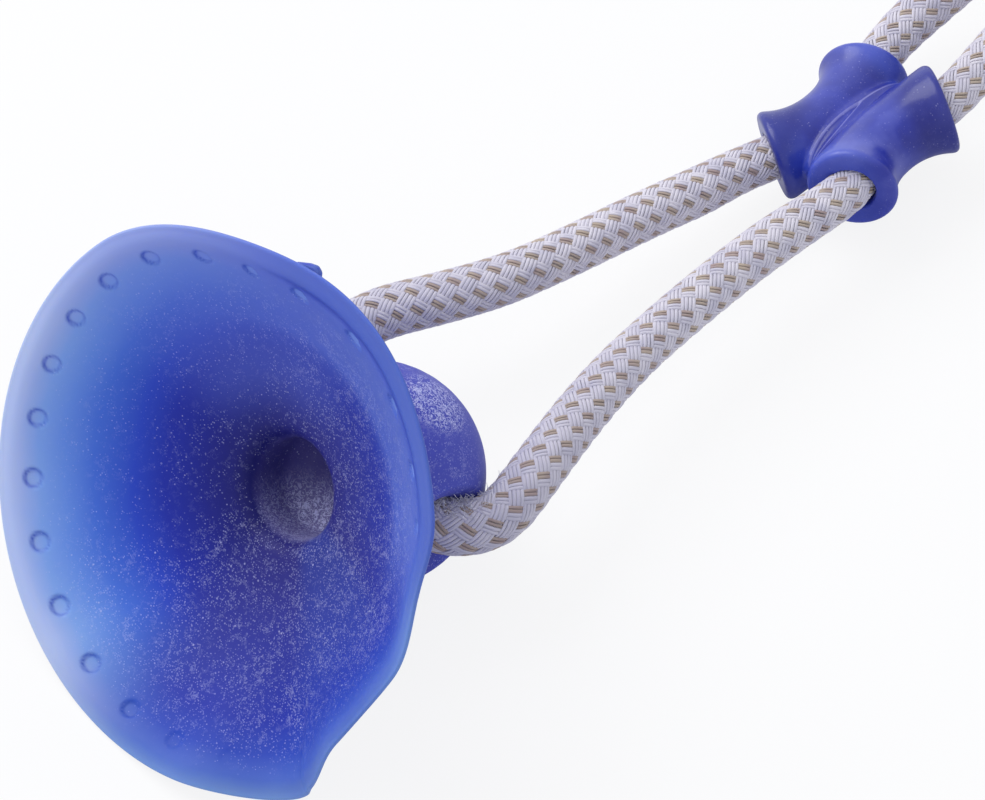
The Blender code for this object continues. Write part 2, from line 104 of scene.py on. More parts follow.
ROPE_DIAMETER = 0.009
ROPE_RADIUS = ROPE_DIAMETER / 2
BRAID_PITCH = 0.0306
RIBBONS_EACH_WAY = 8
YARNS_PER_RIBBON = 4
TAN_YARNS = (0, 1)
YARN_SHAPE = np.array(((-1.0, -0.1), (-0.5, 0.95), (0.5, 0.95), (1.0, -0.1)))
YARN_SPACING = 0.00063
YARN_THICKNESS = 0.00044
YARN_SEAT_SHARE = 0.65
YARN_WOBBLE = 0.06
WEAVE_HEIGHT = 0.00017
WEAVE_STEEPNESS = 2.0
RIBBON_CROWN = 0.00006
TAN_SINK = 0.00003
TAN_WIDTH_SHARE = 1.04
WHITE_WIDTH_SHARE = 1.24
CROSSING_WIDTH_SHARE = 1.10
CORE_RADIUS = 0.00388
CORE_SIDES = 12
HAIR_SIDES = 3
KNOB_SWELL_SHARE = 0.155
KNOB_SWELL_REACH = 0.055
KNOB_HOLE_REACH = 0.010
SLIDER_SQUEEZE_SHARE = 0.085
SLIDER_SQUEEZE_REACH = 0.034
SLIDER_SQUEEZE_RAMP = 0.014
LINE_SPACING = 0.00055
LINE_PASSES = 60
FIBRE_RADIUS = 0.00005
FIBRES_PER_STRAND = 640
FIBRE_LENGTH = 0.0015
FLUFFY_WAY = (0.56, 0.58, 0.59)
FLUFF_FROM_KNOB = 0.018
FLUFF_SPREAD = 0.005
TIP_RADIUS = 0.00016
TIPS_PER_END = 260
FRAY_LENGTH = 0.010
FRAY_FLARE = 0.16
BLEND_REACH = 0.055

SLIDER_PLACE = under_knob + Vector((0.1198, -0.0014, 0.0124))
SLIDER_ROLL = math.radians(-20)
SLIDER_HALF_LENGTH = 0.0129
SLIDER_WAIST = SLIDER_HALF_LENGTH + 0.004
SLIDER_STRAND_OFFSET = 0.0065
SLIDER_SPREAD = math.radians(31)
SLIDER_ARC = SLIDER_HALF_LENGTH / math.sin(SLIDER_SPREAD)

BALL_RADIUS = 0.035
BALL_STRAND_OFFSET = 0.0050
BALL_CENTRE = under_knob + Vector((0.254, 0, BALL_RADIUS))
BALL_TILT = math.radians(6)

KNOT_RADIUS = 0.0115
KNOT_LENGTH = 0.0220
KNOT_STANDOFF = 0.0130
KNOT_SPLAY = math.radians(24)
KNOT_TAIL = 0.0140
KNOT_RIDGE = 0.0011
KNOT_SQUEEZE = 0.84
KNOT_SPACING = 0.0005
KNOT_PASSES = 40
JOIN_GAP = 0.0003

CUP_TURN = math.radians(-3.6)
BEND_RADIUS = 0.0112
BEND_START = 0.0105

MM = 0.001
LOOP_LEFT = (
    (98.8, 9.0, 9.6), (90.9, 9.9, 10.5), (81.8, 11.3, 12.0), (72.8, 12.4, 13.5), (63.2, 13.3, 15.4),
    (53.9, 14.3, 17.3), (45.0, 16.0, 18.8), (33.6, 20.4, 19.8), (24.0, 24.8, 20.0), (16.0, 25.4, 20.0),
    (8.9, 22.6, 20.0), (3.2, 17.4, 20.0),
)
LOOP_RIGHT = (
    (17.6, -20.8, 20.8), (23.6, -19.1, 20.6), (36.4, -15.4, 19.4), (50.4, -12.6, 18.5),
    (67.4, -11.0, 17.5), (83.4, -10.3, 16.6), (92.5, -10.6, 16.4), (100.5, -11.3, 16.2),
)
TAIL_LEFT = (
    (140.0, 10.6, 9.6), (146.5, 10.8, 11.2), (155.0, 9.8, 14.2), (167.0, 7.6, 19.2),
    (180.0, 5.8, 24.4), (192.0, 5.1, 28.0),
)
TAIL_RIGHT = (
    (140.5, -9.2, 17.0), (148.5, -8.4, 18.0), (158.0, -7.4, 19.8), (169.0, -6.3, 22.6),
    (181.0, -5.4, 25.8), (192.0, -5.0, 28.2),
)
BORE_ROUTE_SHARES = ((-1.45, 1), (-0.7, 1), (0, 1), (0.5, 1), (0.76, 1), (0.95, 1.1), (1.12, 1.36))

slide_axis = Vector(slide["axis"]).normalized()
slider_frame = (Matrix.Translation(SLIDER_PLACE)
                @ Matrix.Rotation(math.atan2(slide_axis.y, slide_axis.x), 4, "Z")
                @ Matrix.Rotation(SLIDER_ROLL, 4, "X"))
ball_frame = Matrix.Translation(BALL_CENTRE) @ Matrix.Rotation(-BALL_TILT, 4, "Y")


def eased(t):
    return t * t * (3 - 2 * t)


def on_route(points):
    return [under_knob + Vector(point) * MM for point in points]


def on_arc(angle, side):
    """A place on the middle of one of the slider's curved tubes, in the slider's own frame."""
    offset = SLIDER_STRAND_OFFSET + SLIDER_ARC * (1 - math.cos(angle))
    return SLIDER_ARC * math.sin(angle), side * offset, 0


def slider_strand(start, end, side, steps=4):
    """Places on the rope inside the slider, in shares of its half length."""
    angles = [SLIDER_SPREAD * (start + (end - start) * k / steps) for k in range(steps + 1)]
    return [slider_frame @ Vector(on_arc(angle, side)) for angle in angles]


def knob_pass():
    """Through the knob from left to right, and round its right mouth."""
    bend = [Vector((BEND_RADIUS * (1 - math.cos(a)), -BEND_START - BEND_RADIUS * math.sin(a), 0))
            for a in (math.pi * k / 8 for k in range(5))]
    turn = Matrix.Rotation(CUP_TURN, 3, "Z")
    return [knob_centre + turn @ p for p in [Vector((0, BEND_START, 0)), Vector((0, 0, 0))] + bend]


def knot_frame(side):
    """The knot's front end, behind the ball and beside the other knot."""
    across = KNOT_RADIUS + KNOT_RIDGE + JOIN_GAP - KNOT_LENGTH / 4 * math.sin(KNOT_SPLAY)
    start = ball_frame @ Vector((BALL_RADIUS + KNOT_STANDOFF, side * across, 0))
    return Matrix.Translation(start) @ Matrix.Rotation(side * KNOT_SPLAY, 4, "Z")


def smooth_route(points, leaving, arriving):
    """Evenly spaced places on a smooth curve through the given ones."""
    last = len(points) - 1
    slopes = []
    for k in range(last + 1):
        before, after = points[max(k - 1, 0)], points[min(k + 1, last)]
        length = (points[k] - before).length + (after - points[k]).length
        slopes.append((after - before) / length)
    slopes[0], slopes[-1] = leaving, arriving
    dense = []
    for k in range(last):
        start, end = points[k], points[k + 1]
        length = (end - start).length
        for t in np.linspace(0, 1, 24, endpoint=False):
            leave = slopes[k] * length * t * (1 - t) ** 2
            arrive = slopes[k + 1] * length * t * t * (t - 1)
            dense.append(start.lerp(end, eased(t)) + leave + arrive)
    dense.append(points[-1])
    return even_steps(np.array([tuple(p) for p in dense]), LINE_SPACING)


def distances_along(line):
    return np.concatenate(([0], np.cumsum(np.linalg.norm(np.diff(line, axis=0), axis=1))))


def distances_from(point, line):
    return np.linalg.norm(line - np.array(point), axis=1)


def even_steps(line, spacing):
    """The same line with its points a given spacing apart."""
    travelled = distances_along(line)
    count = max(int(round(travelled[-1] / spacing)), 2)
    goals = np.linspace(0, travelled[-1], count + 1)
    return np.stack([np.interp(goals, travelled, line[:, axis]) for axis in range(3)], 1)


def soften(line, passes):
    """Takes small kinks out of a line and keeps its ends."""
    line = line.copy()
    for _ in range(passes):
        line[1:-1] += 0.25 * (line[:-2] + line[2:] - 2 * line[1:-1])
    return line


def tied_overhand():
    """Centreline of an overhand knot along X, one rope diameter as the unit, drawn tight by pulling
    its ends apart until the rope lies on itself."""
    beads = 80
    length = 24.0
    taken_up = 10.5
    neighbours = 1.6
    steps = 1200
    kept_half = 1.35
    segment = length / (beads - 1)
    t = np.linspace(-2.2, 2.2, 400)
    line = np.stack((t ** 5 / 5 - 2 * t, t ** 3 - 3 * t, 0.55 * (t ** 4 - 4 * t ** 2)), 1)
    loose = np.linalg.norm(np.diff(line, axis=0), axis=1).sum()
    line = even_steps(line, loose / (beads - 1)) * (length / loose)
    loose_ends = line[[0, -1]].copy()
    half = (length - taken_up) / 2
    tight_ends = np.array(((-half, 0, 0), (half, 0, 0)))
    index = np.arange(beads)
    apart = np.abs(index[:, None] - index[None, :]) * segment > neighbours
    for step in range(steps):
        ends = loose_ends + (tight_ends - loose_ends) * min(2 * step / steps, 1)
        for _ in range(4):
            line[[0, -1]] = ends
            for first in (0, 1):
                a = index[first:-1:2]
                gap = line[a + 1] - line[a]
                size = np.linalg.norm(gap, axis=1, keepdims=True)
                move = 0.5 * (size - segment) / size * gap
                line[a] += move
                line[a + 1] -= move
            gap = line[:, None] - line[None, :]
            size = np.linalg.norm(gap, axis=2) + 1e-9
            push = np.where((size < 1) & apart, (1 - size) / size * 0.25, 0)
            line += (gap * push[:, :, None]).sum(1)
        line[1:-1] += 0.03 * (line[:-2] + line[2:] - 2 * line[1:-1])
    wound = line[np.abs(line[:, 0]) < kept_half]
    return wound - (wound.min(0) + wound.max(0)) / 2


def frames_along(line):
    """Direction, and two square directions that turn as little as they can, at each place."""
    ahead = np.gradient(line, axis=0)
    ahead /= np.linalg.norm(ahead, axis=1, keepdims=True)
    up = np.zeros_like(ahead)
    up[0] = np.cross(ahead[0], (0, 1, 0))
    up[0] /= np.linalg.norm(up[0])
    for k in range(1, len(line)):
        side = up[k - 1] - ahead[k] * np.dot(up[k - 1], ahead[k])
        up[k] = side / np.linalg.norm(side)
    return ahead, up, np.cross(ahead, up)


def tube_faces(rings, sides):
    """Quads over a row of rings."""
    ring = np.arange(rings - 1)[:, None] * sides
    i = np.arange(sides)[None, :]
    j = (i + 1) % sides
    return np.stack((ring + i, ring + j, ring + sides + j, ring + sides + i), 2).reshape(-1, 4)


def closed_tube_faces(rings, sides):
    """The same, with quads that close both ends; the number of sides is even."""
    k = np.arange(sides // 2 - 1)
    cap = np.stack((k, k + 1, sides - 2 - k, sides - 1 - k), 1)
    return np.concatenate((tube_faces(rings, sides), cap[:, ::-1], cap + (rings - 1) * sides))


def round_tube(line, first, second, radius, sides):
    """Rings of points round a line, from two directions that are square to it."""
    turns = (2 * math.pi * np.arange(sides) / sides)[None, :, None]
    return line[:, None] + radius * (first[:, None] * np.cos(turns) + second[:, None] * np.sin(turns))


def stray_fibres(line, swell):
    """Short white hairs that stand out of the upper side of the braid beside the knob."""
    rand = np.random.default_rng(5)
    away = np.abs(rand.normal(FLUFF_FROM_KNOB, FLUFF_SPREAD, FIBRES_PER_STRAND) / LINE_SPACING)
    nearest = np.argmin(distances_from(knob_centre, line))
    places = np.abs(nearest - np.minimum(away.astype(int), len(line) - 1))
    lengths = FIBRE_LENGTH * rand.uniform(0.5, 1.2, FIBRES_PER_STRAND)
    rand = np.random.default_rng(11)
    ahead, up, side = frames_along(line)
    t = np.linspace(0, 1, 6)[:, None]
    fibres = []
    for k, length in zip(places, lengths):
        a = math.atan2(np.dot(side[k], FLUFFY_WAY), np.dot(up[k], FLUFFY_WAY)) + rand.uniform(-1.2, 1.2)
        out = up[k] * math.cos(a) + side[k] * math.sin(a)
        sideways = side[k] * math.cos(a) - up[k] * math.sin(a)
        lean = out * rand.uniform(0.3, 0.8) + sideways * rand.uniform(-1, 1) + ahead[k] * rand.uniform(-1, 1)
        curl = rand.uniform(-0.7, 0.7, 3)
        root = line[k] + out * (CORE_RADIUS + YARN_THICKNESS) * (1 + swell[k])
        fibres.append((FIBRE_RADIUS, root + length * (lean * t + curl * t * t * 0.5)))
    return fibres


def loose_tips(line):
    """Yarn tips of several lengths that fill and close the rope's cut end."""
    rand = np.random.default_rng(23)
    ahead, up, side = (ways[-1] for ways in frames_along(line))
    t = np.linspace(0, 1, 5)[:, None]
    tips = []
    for _ in range(TIPS_PER_END):
        a = rand.uniform(0, 2 * math.pi)
        share = math.sqrt(rand.uniform(0, 1))
        out = up * math.cos(a) + side * math.sin(a)
        lean = ahead + out * share * rand.uniform(0, 0.5) + up * rand.uniform(-0.2, 0.2)
        curl = rand.uniform(-0.5, 0.5, 3)
        root = line[-1] + out * share * CORE_RADIUS * 1.05 - ahead * 0.0010
        length = rand.uniform(0.0022, 0.0040)
        tips.append((TIP_RADIUS, root + length * (lean * t + curl * t * t * 0.4)))
    return tips


def new_object(name, points, faces, edges=()):
    mesh = bpy.data.meshes.new(name)
    mesh.from_pydata(points, edges, faces)
    obj = bpy.data.objects.new(name, mesh)
    bpy.context.scene.collection.objects.link(obj)
    return obj


def mark(obj, label, values):
    """Stores a number or a vector at each point, for the shaders to read."""
    values = np.asarray(values, np.float32)
    kind, field = ("FLOAT", "value") if values.ndim == 1 else ("FLOAT_VECTOR", "vector")
    obj.data.attributes.new(label, kind, "POINT").data.foreach_set(field, values.ravel())


def braided_rope(name, line, travelled, swell, fray=0.0, fibres=()):
    """Yarns over and under each other round a plain core, as one mesh with two yarn colours."""
    ahead, up, side = frames_along(line)
    distance = travelled + distances_along(line)
    grow = 1 + swell
    if fray:
        grow = grow + FRAY_FLARE * np.clip(1 - (distance[-1] - distance) / fray, 0, 1) ** 2
    points, faces, slots = [], [], []
    marks = {"across": [], "along": [], "tint": [], "sunk": []}

    def put(tube, quads, slot, **values):
        """Adds one tube, with what its shader reads at each point."""
        faces.append(quads + sum(map(len, points)))
        points.append(tube.reshape(-1, 3))
        slots.append(np.full(len(quads), slot))
        for label, stored in marks.items():
            stored.append(np.broadcast_to(values.get(label, 0.0), tube.shape[:2]).ravel())

    quads = closed_tube_faces(len(line), len(YARN_SHAPE))
    rand = np.random.default_rng(7)
    yarn_radius = CORE_RADIUS + YARN_THICKNESS
    lean = math.atan(2 * math.pi * yarn_radius / BRAID_PITCH)
    step = 2 * math.pi / RIBBONS_EACH_WAY
    half = (YARNS_PER_RIBBON - 1) / 2
    for way, ribbon, place in itertools.product((1, -1), range(RIBBONS_EACH_WAY),
                                                range(YARNS_PER_RIBBON)):
        off_middle = (place - half) / half
        tan = way == 1 and place in TAN_YARNS
        width = YARN_SPACING * (TAN_WIDTH_SHARE if tan else WHITE_WIDTH_SHARE)
        shift = off_middle * YARN_SPACING * half
        if way == -1:
            shift *= CROSSING_WIDTH_SHARE
        offset = -way * shift * math.sin(lean)
        angle = (way * 2 * math.pi * distance / BRAID_PITCH + ribbon * step
                 + shift * math.cos(lean) / yarn_radius)
        crossed = (angle + way * 2 * math.pi * (distance + offset) / BRAID_PITCH) / step
        wave = np.tanh(WEAVE_STEEPNESS * way * np.cos(math.pi * (crossed - ribbon)))
        wave = wave / math.tanh(WEAVE_STEEPNESS)
        base = (CORE_RADIUS + YARN_SEAT_SHARE * YARN_THICKNESS - RIBBON_CROWN * off_middle ** 2
                - TAN_SINK * tan) * grow
        cos, sin = np.cos(angle)[:, None], np.sin(angle)[:, None]
        out = up * cos + side * sin
        flat = (side * cos - up * sin) * math.cos(lean) - way * ahead * math.sin(lean)
        middle = line + out * (base + wave * WEAVE_HEIGHT)[:, None] + ahead * offset
        wobble = 1 + YARN_WOBBLE * rand.standard_normal()
        tube = (middle[:, None]
                + flat[:, None] * (YARN_SHAPE[None, :, :1] * width / 2 * wobble * grow[:, None, None])
                + out[:, None] * (YARN_SHAPE[None, :, 1:] * YARN_THICKNESS / 2))
        put(tube, quads, 1 if tan else 0, across=YARN_SHAPE[:, 0], along=distance[:, None],
            tint=rand.random(), sunk=(0.5 - 0.5 * wave)[:, None])
    for thickness, hair in fibres:
        onward = np.gradient(hair, axis=0)
        thick = np.cross(onward, (0.3, 0.5, 0.8))
        thick /= np.linalg.norm(thick, axis=1, keepdims=True)
        third = np.cross(thick, onward) / np.linalg.norm(onward, axis=1, keepdims=True)
        put(round_tube(hair, thick, third, thickness, HAIR_SIDES), tube_faces(len(hair), HAIR_SIDES), 3,
            tint=rand.random())
    core = round_tube(line, up, side, (CORE_RADIUS * grow)[:, None, None], CORE_SIDES)
    core = core[::4] if (len(line) - 1) % 4 == 0 else np.concatenate((core[::4], core[-1:]))
    put(core, closed_tube_faces(len(core), CORE_SIDES), 2, sunk=1.0)

    rope = new_object(name, np.concatenate(points).tolist(), np.concatenate(faces).tolist())
    rope.data.polygons.foreach_set("material_index", np.concatenate(slots).astype(np.int32))
    for label, values in marks.items():
        mark(rope, label, np.concatenate(values))
    rope.data.shade_smooth()
    for colour in (white_yarn, tan_yarn, rope_core, rope_fluff):
        rope.data.materials.append(colour)
    return rope


def shade(red, green, blue):
    """A colour as seen on screen, 0 to 255, for a shader socket."""
    def linear(c):
        c /= 255
        return c / 12.92 if c <= 0.04045 else ((c + 0.055) / 1.055) ** 2.4
    return linear(red), linear(green), linear(blue), 1.0


def new_material(name, **sockets):
    """A material with constant values set on its shader, and its tree to build on."""
    mat = bpy.data.materials.new(name)
    mat.use_nodes = True
    shader = mat.node_tree.nodes["Principled BSDF"]
    for label, value in sockets.items():
        shader.inputs[label.replace("_", " ")].default_value = value
    return mat, mat.node_tree, shader


def add(tree, kind, inputs=(), **settings):
    """One shader node, with its settings, and its inputs set or linked by name or number."""
    node = tree.nodes.new(kind)
    for label, value in settings.items():
        setattr(node, label, value)
    for label, value in dict(inputs).items():
        if isinstance(value, bpy.types.NodeSocket):
            tree.links.new(value, node.inputs[label])
        else:
            node.inputs[label].default_value = value
    return node


def tree_of(*values):
    """The node tree that the first linked value belongs to."""
    return next(value.id_data for value in values if isinstance(value, bpy.types.NodeSocket))


def sums(operation, a, b=0.0, clamp=False):
    """One Math node."""
    return add(tree_of(a, b), "ShaderNodeMath", {0: a, 1: b}, operation=operation,
               use_clamp=clamp).outputs[0]


def in_turn(operation, first, *others):
    """Math nodes that take in one value after another."""
    for other in others:
        first = sums(operation, first, other)
    return first


def times(*values):
    return in_turn("MULTIPLY", *values)


def plus(*values):
    return in_turn("ADD", *values)


def minus(a, b):
    return sums("SUBTRACT", a, b)


def largest_of(*values):
    return in_turn("MAXIMUM", *values)


def size_of(value):
    return sums("ABSOLUTE", value)


def mixed(factor, a, b):
    """One colour Mix node."""
    tree = tree_of(factor, a, b)
    return add(tree, "ShaderNodeMix", {0: factor, 6: a, 7: b}, data_type="RGBA").outputs[2]


def tinted(base, factor, red, green, blue):
    """The base colour with another one laid over it."""
    return mixed(factor, base, shade(red, green, blue))


def measured(operation, a, b):
    """The distance or the dot product of two places."""
    return add(tree_of(a, b), "ShaderNodeVectorMath", {0: a, 1: b}, operation=operation).outputs["Value"]


def noise(place, scale, detail=2.0, roughness=0.5, distortion=0.0):
    return add(tree_of(place), "ShaderNodeTexNoise",
               {"Vector": place, "Scale": scale, "Detail": detail, "Roughness": roughness,
                "Distortion": distortion}).outputs[0]


def here_in(tree):
    return add(tree, "ShaderNodeTexCoord").outputs["Object"]


def marked(tree, label):
    return add(tree, "ShaderNodeAttribute", attribute_name=label).outputs["Fac"]


def feed(shader, label, value):
    shader.id_data.links.new(value, shader.inputs[label])


def relief(shader, height, strength, depth=0.0001):
    """Fine bumps on a material."""
    bump = add(shader.id_data, "ShaderNodeBump", {"Height": height, "Strength": strength,
                                                  "Distance": depth})
    feed(shader, "Normal", bump.outputs[0])


def yarn(name, light, dark, faded):
    """Spun yarn: fine filaments that run along it, painted shade where it dives under its neighbour and
    along its edges, darker near the knob, and cleaner or dustier from one stretch to the next."""
    mat, tree, shader = new_material(name, Roughness=0.85, Sheen_Weight=0.25, Sheen_Roughness=0.5,
                                     Specular_IOR_Level=0.2)
    across, along, tint, sunk = (marked(tree, label) for label in ("across", "along", "tint", "sunk"))
    spun = add(tree, "ShaderNodeCombineXYZ", {0: times(across, 1.6), 1: times(along, 420.0),
                                              2: times(tint, 60.0)}).outputs[0]
    strands = noise(spun, 1.7, 3.0, 0.65)
    edge = sums("POWER", size_of(across), 2.0)
    relief(shader, minus(strands, times(edge, 0.1)), 0.5, 0.00012)
    # Painted shade: darker where the yarn dives under its neighbour and towards its edges; the tint share is
    # random tone.
    dim = plus(times(sunk, 0.30), times(edge, 0.05), times(minus(tint, 0.5), 0.30))
    dim = sums("ADD", dim, minus(strands, 0.5), clamp=True)
    place = here_in(tree)
    patch = sums("MULTIPLY", minus(noise(place, 260.0), 0.42), 4.0, clamp=True)
    colour = mixed(dim, mixed(patch, light, faded), dark)
    # The yarn turns darker within a few centimetres of the knob.
    from_knob = measured("DISTANCE", place, knob_centre)
    darker_near_knob = add(tree, "ShaderNodeMapRange", {"Value": from_knob, "From Min": 0.020, "From Max": 0.060,
                                              "To Min": 0.55, "To Max": 0.0}).outputs[0]
    between = [(a + b) / 2 for a, b in zip(dark, faded)]
    feed(shader, "Base Color", mixed(darker_near_knob, colour, between))
    return mat


white_yarn = yarn("white_yarn", shade(224, 219, 228), shade(152, 148, 170), shade(206, 202, 216))
tan_yarn = yarn("tan_yarn", shade(192, 176, 160), shade(138, 122, 118), shade(176, 156, 154))
rope_core, _, _ = new_material("rope_core", Base_Color=shade(168, 164, 180), Roughness=0.95)
rope_fluff, tree, shader = new_material("rope_fluff", Roughness=0.9, Sheen_Weight=0.3)
feed(shader, "Base Color", mixed(marked(tree, "tint"), shade(246, 245, 252), shade(206, 202, 218)))

strand_axis = slider_frame.to_3x3().col[0]
loop_places = (slider_strand(-0.01, -0.95, 1) + on_route(LOOP_LEFT) + knob_pass() + on_route(LOOP_RIGHT)
               + slider_strand(-0.95, -0.01, -1))
loop_line = soften(smooth_route(loop_places, -strand_axis, strand_axis), LINE_PASSES)
turn_point = int(np.argmin(distances_from(knob_centre, loop_line)))


def swell_along(line):
    """The rope is fatter where it bends round the knob, and pinched by the slider."""
    away = distances_from(knob_centre, line)
    near = np.clip(1 - away / KNOB_SWELL_REACH, 0, 1) ** 0.8
    past_hole = np.clip((away - KNOB_HOLE_REACH) / 0.006, 0, 1)
    to_slider = distances_from(SLIDER_PLACE, line)
    pinch = np.clip((SLIDER_SQUEEZE_REACH - to_slider) / SLIDER_SQUEEZE_RAMP, 0, 1)
    return KNOB_SWELL_SHARE * near * past_hole - SLIDER_SQUEEZE_SHARE * eased(pinch)


def dress_rope(node):
    """A stretch of rope stands for its CAD node, which is hidden."""
    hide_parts(node)


waist_left = np.array(slider_frame @ Vector((-SLIDER_WAIST, 0, 0)))
waist_right = np.array(slider_frame @ Vector((SLIDER_WAIST, 0, 0)))
reach = np.array(slide_axis) * BLEND_REACH

travelled = 0.0
for name, line in (("rope_strand_left", loop_line[:turn_point + 1]),
                   ("rope_strand_right", loop_line[turn_point:])):
    swell = swell_along(line)
    strand = braided_rope(name, line, travelled, swell, fibres=stray_fibres(line, swell))
    travelled += distances_along(line)[-1]
    dress_rope("rope_loop")
    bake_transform(strand, "rope", "slider", start=waist_left - reach, end=waist_left)

knot_turn = Matrix.Rotation(math.radians(90), 3, "X")
wound = tied_overhand() * ROPE_DIAMETER * KNOT_SQUEEZE
wound = np.array([tuple(knot_turn @ Vector(p)) for p in wound]) + np.array((KNOT_LENGTH / 2, 0, 0))
for side, name, route in ((1, "left", TAIL_LEFT), (-1, "right", TAIL_RIGHT)):
    front = knot_frame(side)
    knot_line = np.array([tuple(front @ Vector((x, side * y, z))) for x, y, z in wound])
    entering = Vector(knot_line[2] - knot_line[0]).normalized()
    leaving = Vector(knot_line[-1] - knot_line[-3]).normalized()
    bore = [Vector((x * BALL_RADIUS, side * y * BALL_STRAND_OFFSET, 0)) for x, y in BORE_ROUTE_SHARES]
    places = slider_strand(0.01, 0.95, side) + on_route(route) + [ball_frame @ p for p in bore]
    tail_line = soften(smooth_route(places + [Vector(knot_line[0])], strand_axis, entering), LINE_PASSES)
    tail = braided_rope("rope_end_" + name, tail_line, 0.0, swell_along(tail_line))
    dress_rope("rope_tail_" + name)
    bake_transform(tail, "slider", "rope", start=waist_right, end=waist_right + reach)
    tip = front @ Vector((KNOT_LENGTH + KNOT_TAIL, 0, 0))
    free = smooth_route([Vector(knot_line[-1]), tip], leaving, front.to_3x3().col[0])
    full = soften(even_steps(np.concatenate((knot_line, free[1:])), KNOT_SPACING), KNOT_PASSES)
    squeeze = np.full(len(full), KNOT_SQUEEZE - 1)
    knot = braided_rope("tied_knot_" + name, full, 0.0, squeeze, FRAY_LENGTH, loose_tips(full))
    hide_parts("rope_knot_" + name)
    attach(knot, "rope")


# Suction cup: one soft blue rubber moulding of lip, bowl, blind recess and round knob with a cross
# hole. Turned from its profile, dimpled, drilled, bent as it lies and given its pull tab.

CUP_RADIUS = 0.050
LIP_THICKNESS = 0.0016
LAND_WIDTH = 0.0020
BOWL_DEPTH = 0.0192
BOWL_ROUNDNESS = 1.9
WALL_THICKNESS = 0.0052
RECESS_RADIUS = 0.0089
RECESS_DEPTH = 0.0135
RECESS_CORNER = RECESS_RADIUS * 0.55
RECESS_SHOULDER = 0.0045
LIP_EDGE = 0.0009
LIP_BLEND = 0.0012
GROOVE_RADIUS = 0.0460
GROOVE_WIDTH = 0.0006
GROOVE_DEPTH = 0.00035
GROOVE_ANGLES = (70, 152)
DIMPLE_COUNT = 25
DIMPLE_RADIUS = 0.0017
DIMPLE_DEPTH = 0.00045
DIMPLE_CIRCLE = 0.0442
DIMPLE_ZONE = 1.35 * DIMPLE_RADIUS
DIMPLE_SHIFTS = ((128, 68, 11.6), (325, 66, 2.8), (58, 20, 1.2))
TAB_OUTLINE = ((10.4, 44.3), (8.3, 46.2), (6.0, 47.7), (4.4, 48.4), (3.2, 47.9), (2.5, 46.5),
               (4.4, 44.4), (9.6, 43.6))
TAB_MIDDLE = 0.0028
TAB_THICKNESS = 0.0016
KNOB_RADIUS = 0.020
KNOB_BEHIND_RIM = 0.0423
NECK_RADIUS = 0.0138
KNOB_CLEARANCE = 0.0004
CUP_STEPS = 624
LIP_WAVE_SHARES = (
    (73, 46, 0.40, 0.040, 0.098),
    (103, 70, 0.88, -0.060, -0.070),
    (161, 18, 0.60, 0.017, 0.060),
    (192, 32, 0.50, 0.000, 0.060),
    (224, 24, 0.45, 0.145, -0.047),
)
CREASE_ANGLE = 215.5
CREASE_WIDTH = 5
CREASE_RISE = 0.0013
LAND_INNER = CUP_RADIUS - LIP_THICKNESS / 2 - LAND_WIDTH
MERGE_DISTANCE = 0.00001
CUT_OVERRUN = 0.002
SMOOTH_ANGLE = math.radians(50)

lip_edge = LIP_THICKNESS / 2
along_axis, across_axis = KNOB_BEHIND_RIM - lip_edge, CUP_RADIUS - lip_edge
cup_tilt = (math.atan2(across_axis, along_axis)
            + math.asin((lip_edge - KNOB_RADIUS) / math.hypot(along_axis, across_axis)))
back = Vector((math.cos(cup_tilt) * math.cos(CUP_TURN), math.cos(cup_tilt) * math.sin(CUP_TURN),
               -math.sin(cup_tilt)))
side_way = Vector((-math.sin(CUP_TURN), math.cos(CUP_TURN), 0))
cup_frame = (Matrix.Translation(knob_centre - KNOB_BEHIND_RIM * back)
             @ Matrix((side_way, back.cross(side_way), back)).transposed().to_4x4())


def bowl_share(radius):
    return np.clip((radius - RECESS_RADIUS) / (LAND_INNER - RECESS_RADIUS), 0, 1)


def bowl_height(radius):
    """The bowl runs out softly into the thin lip."""
    share = np.clip((radius - RECESS_RADIUS) / (LAND_INNER - RECESS_RADIUS), 0, None)
    plain = BOWL_DEPTH * (1 - share ** BOWL_ROUNDNESS)
    return (plain + np.sqrt(plain * plain + LIP_BLEND * LIP_BLEND)) / 2


def back_height(radius):
    plain = BOWL_DEPTH * (1 - bowl_share(radius) ** BOWL_ROUNDNESS)
    return plain + LIP_THICKNESS + (WALL_THICKNESS - LIP_THICKNESS) * (1 - bowl_share(radius))


def arc(centre, radius, start, end, steps):
    angles = np.linspace(start, end, steps + 1)
    return [(centre[0] + radius * math.cos(a), centre[1] + radius * math.sin(a)) for a in angles]


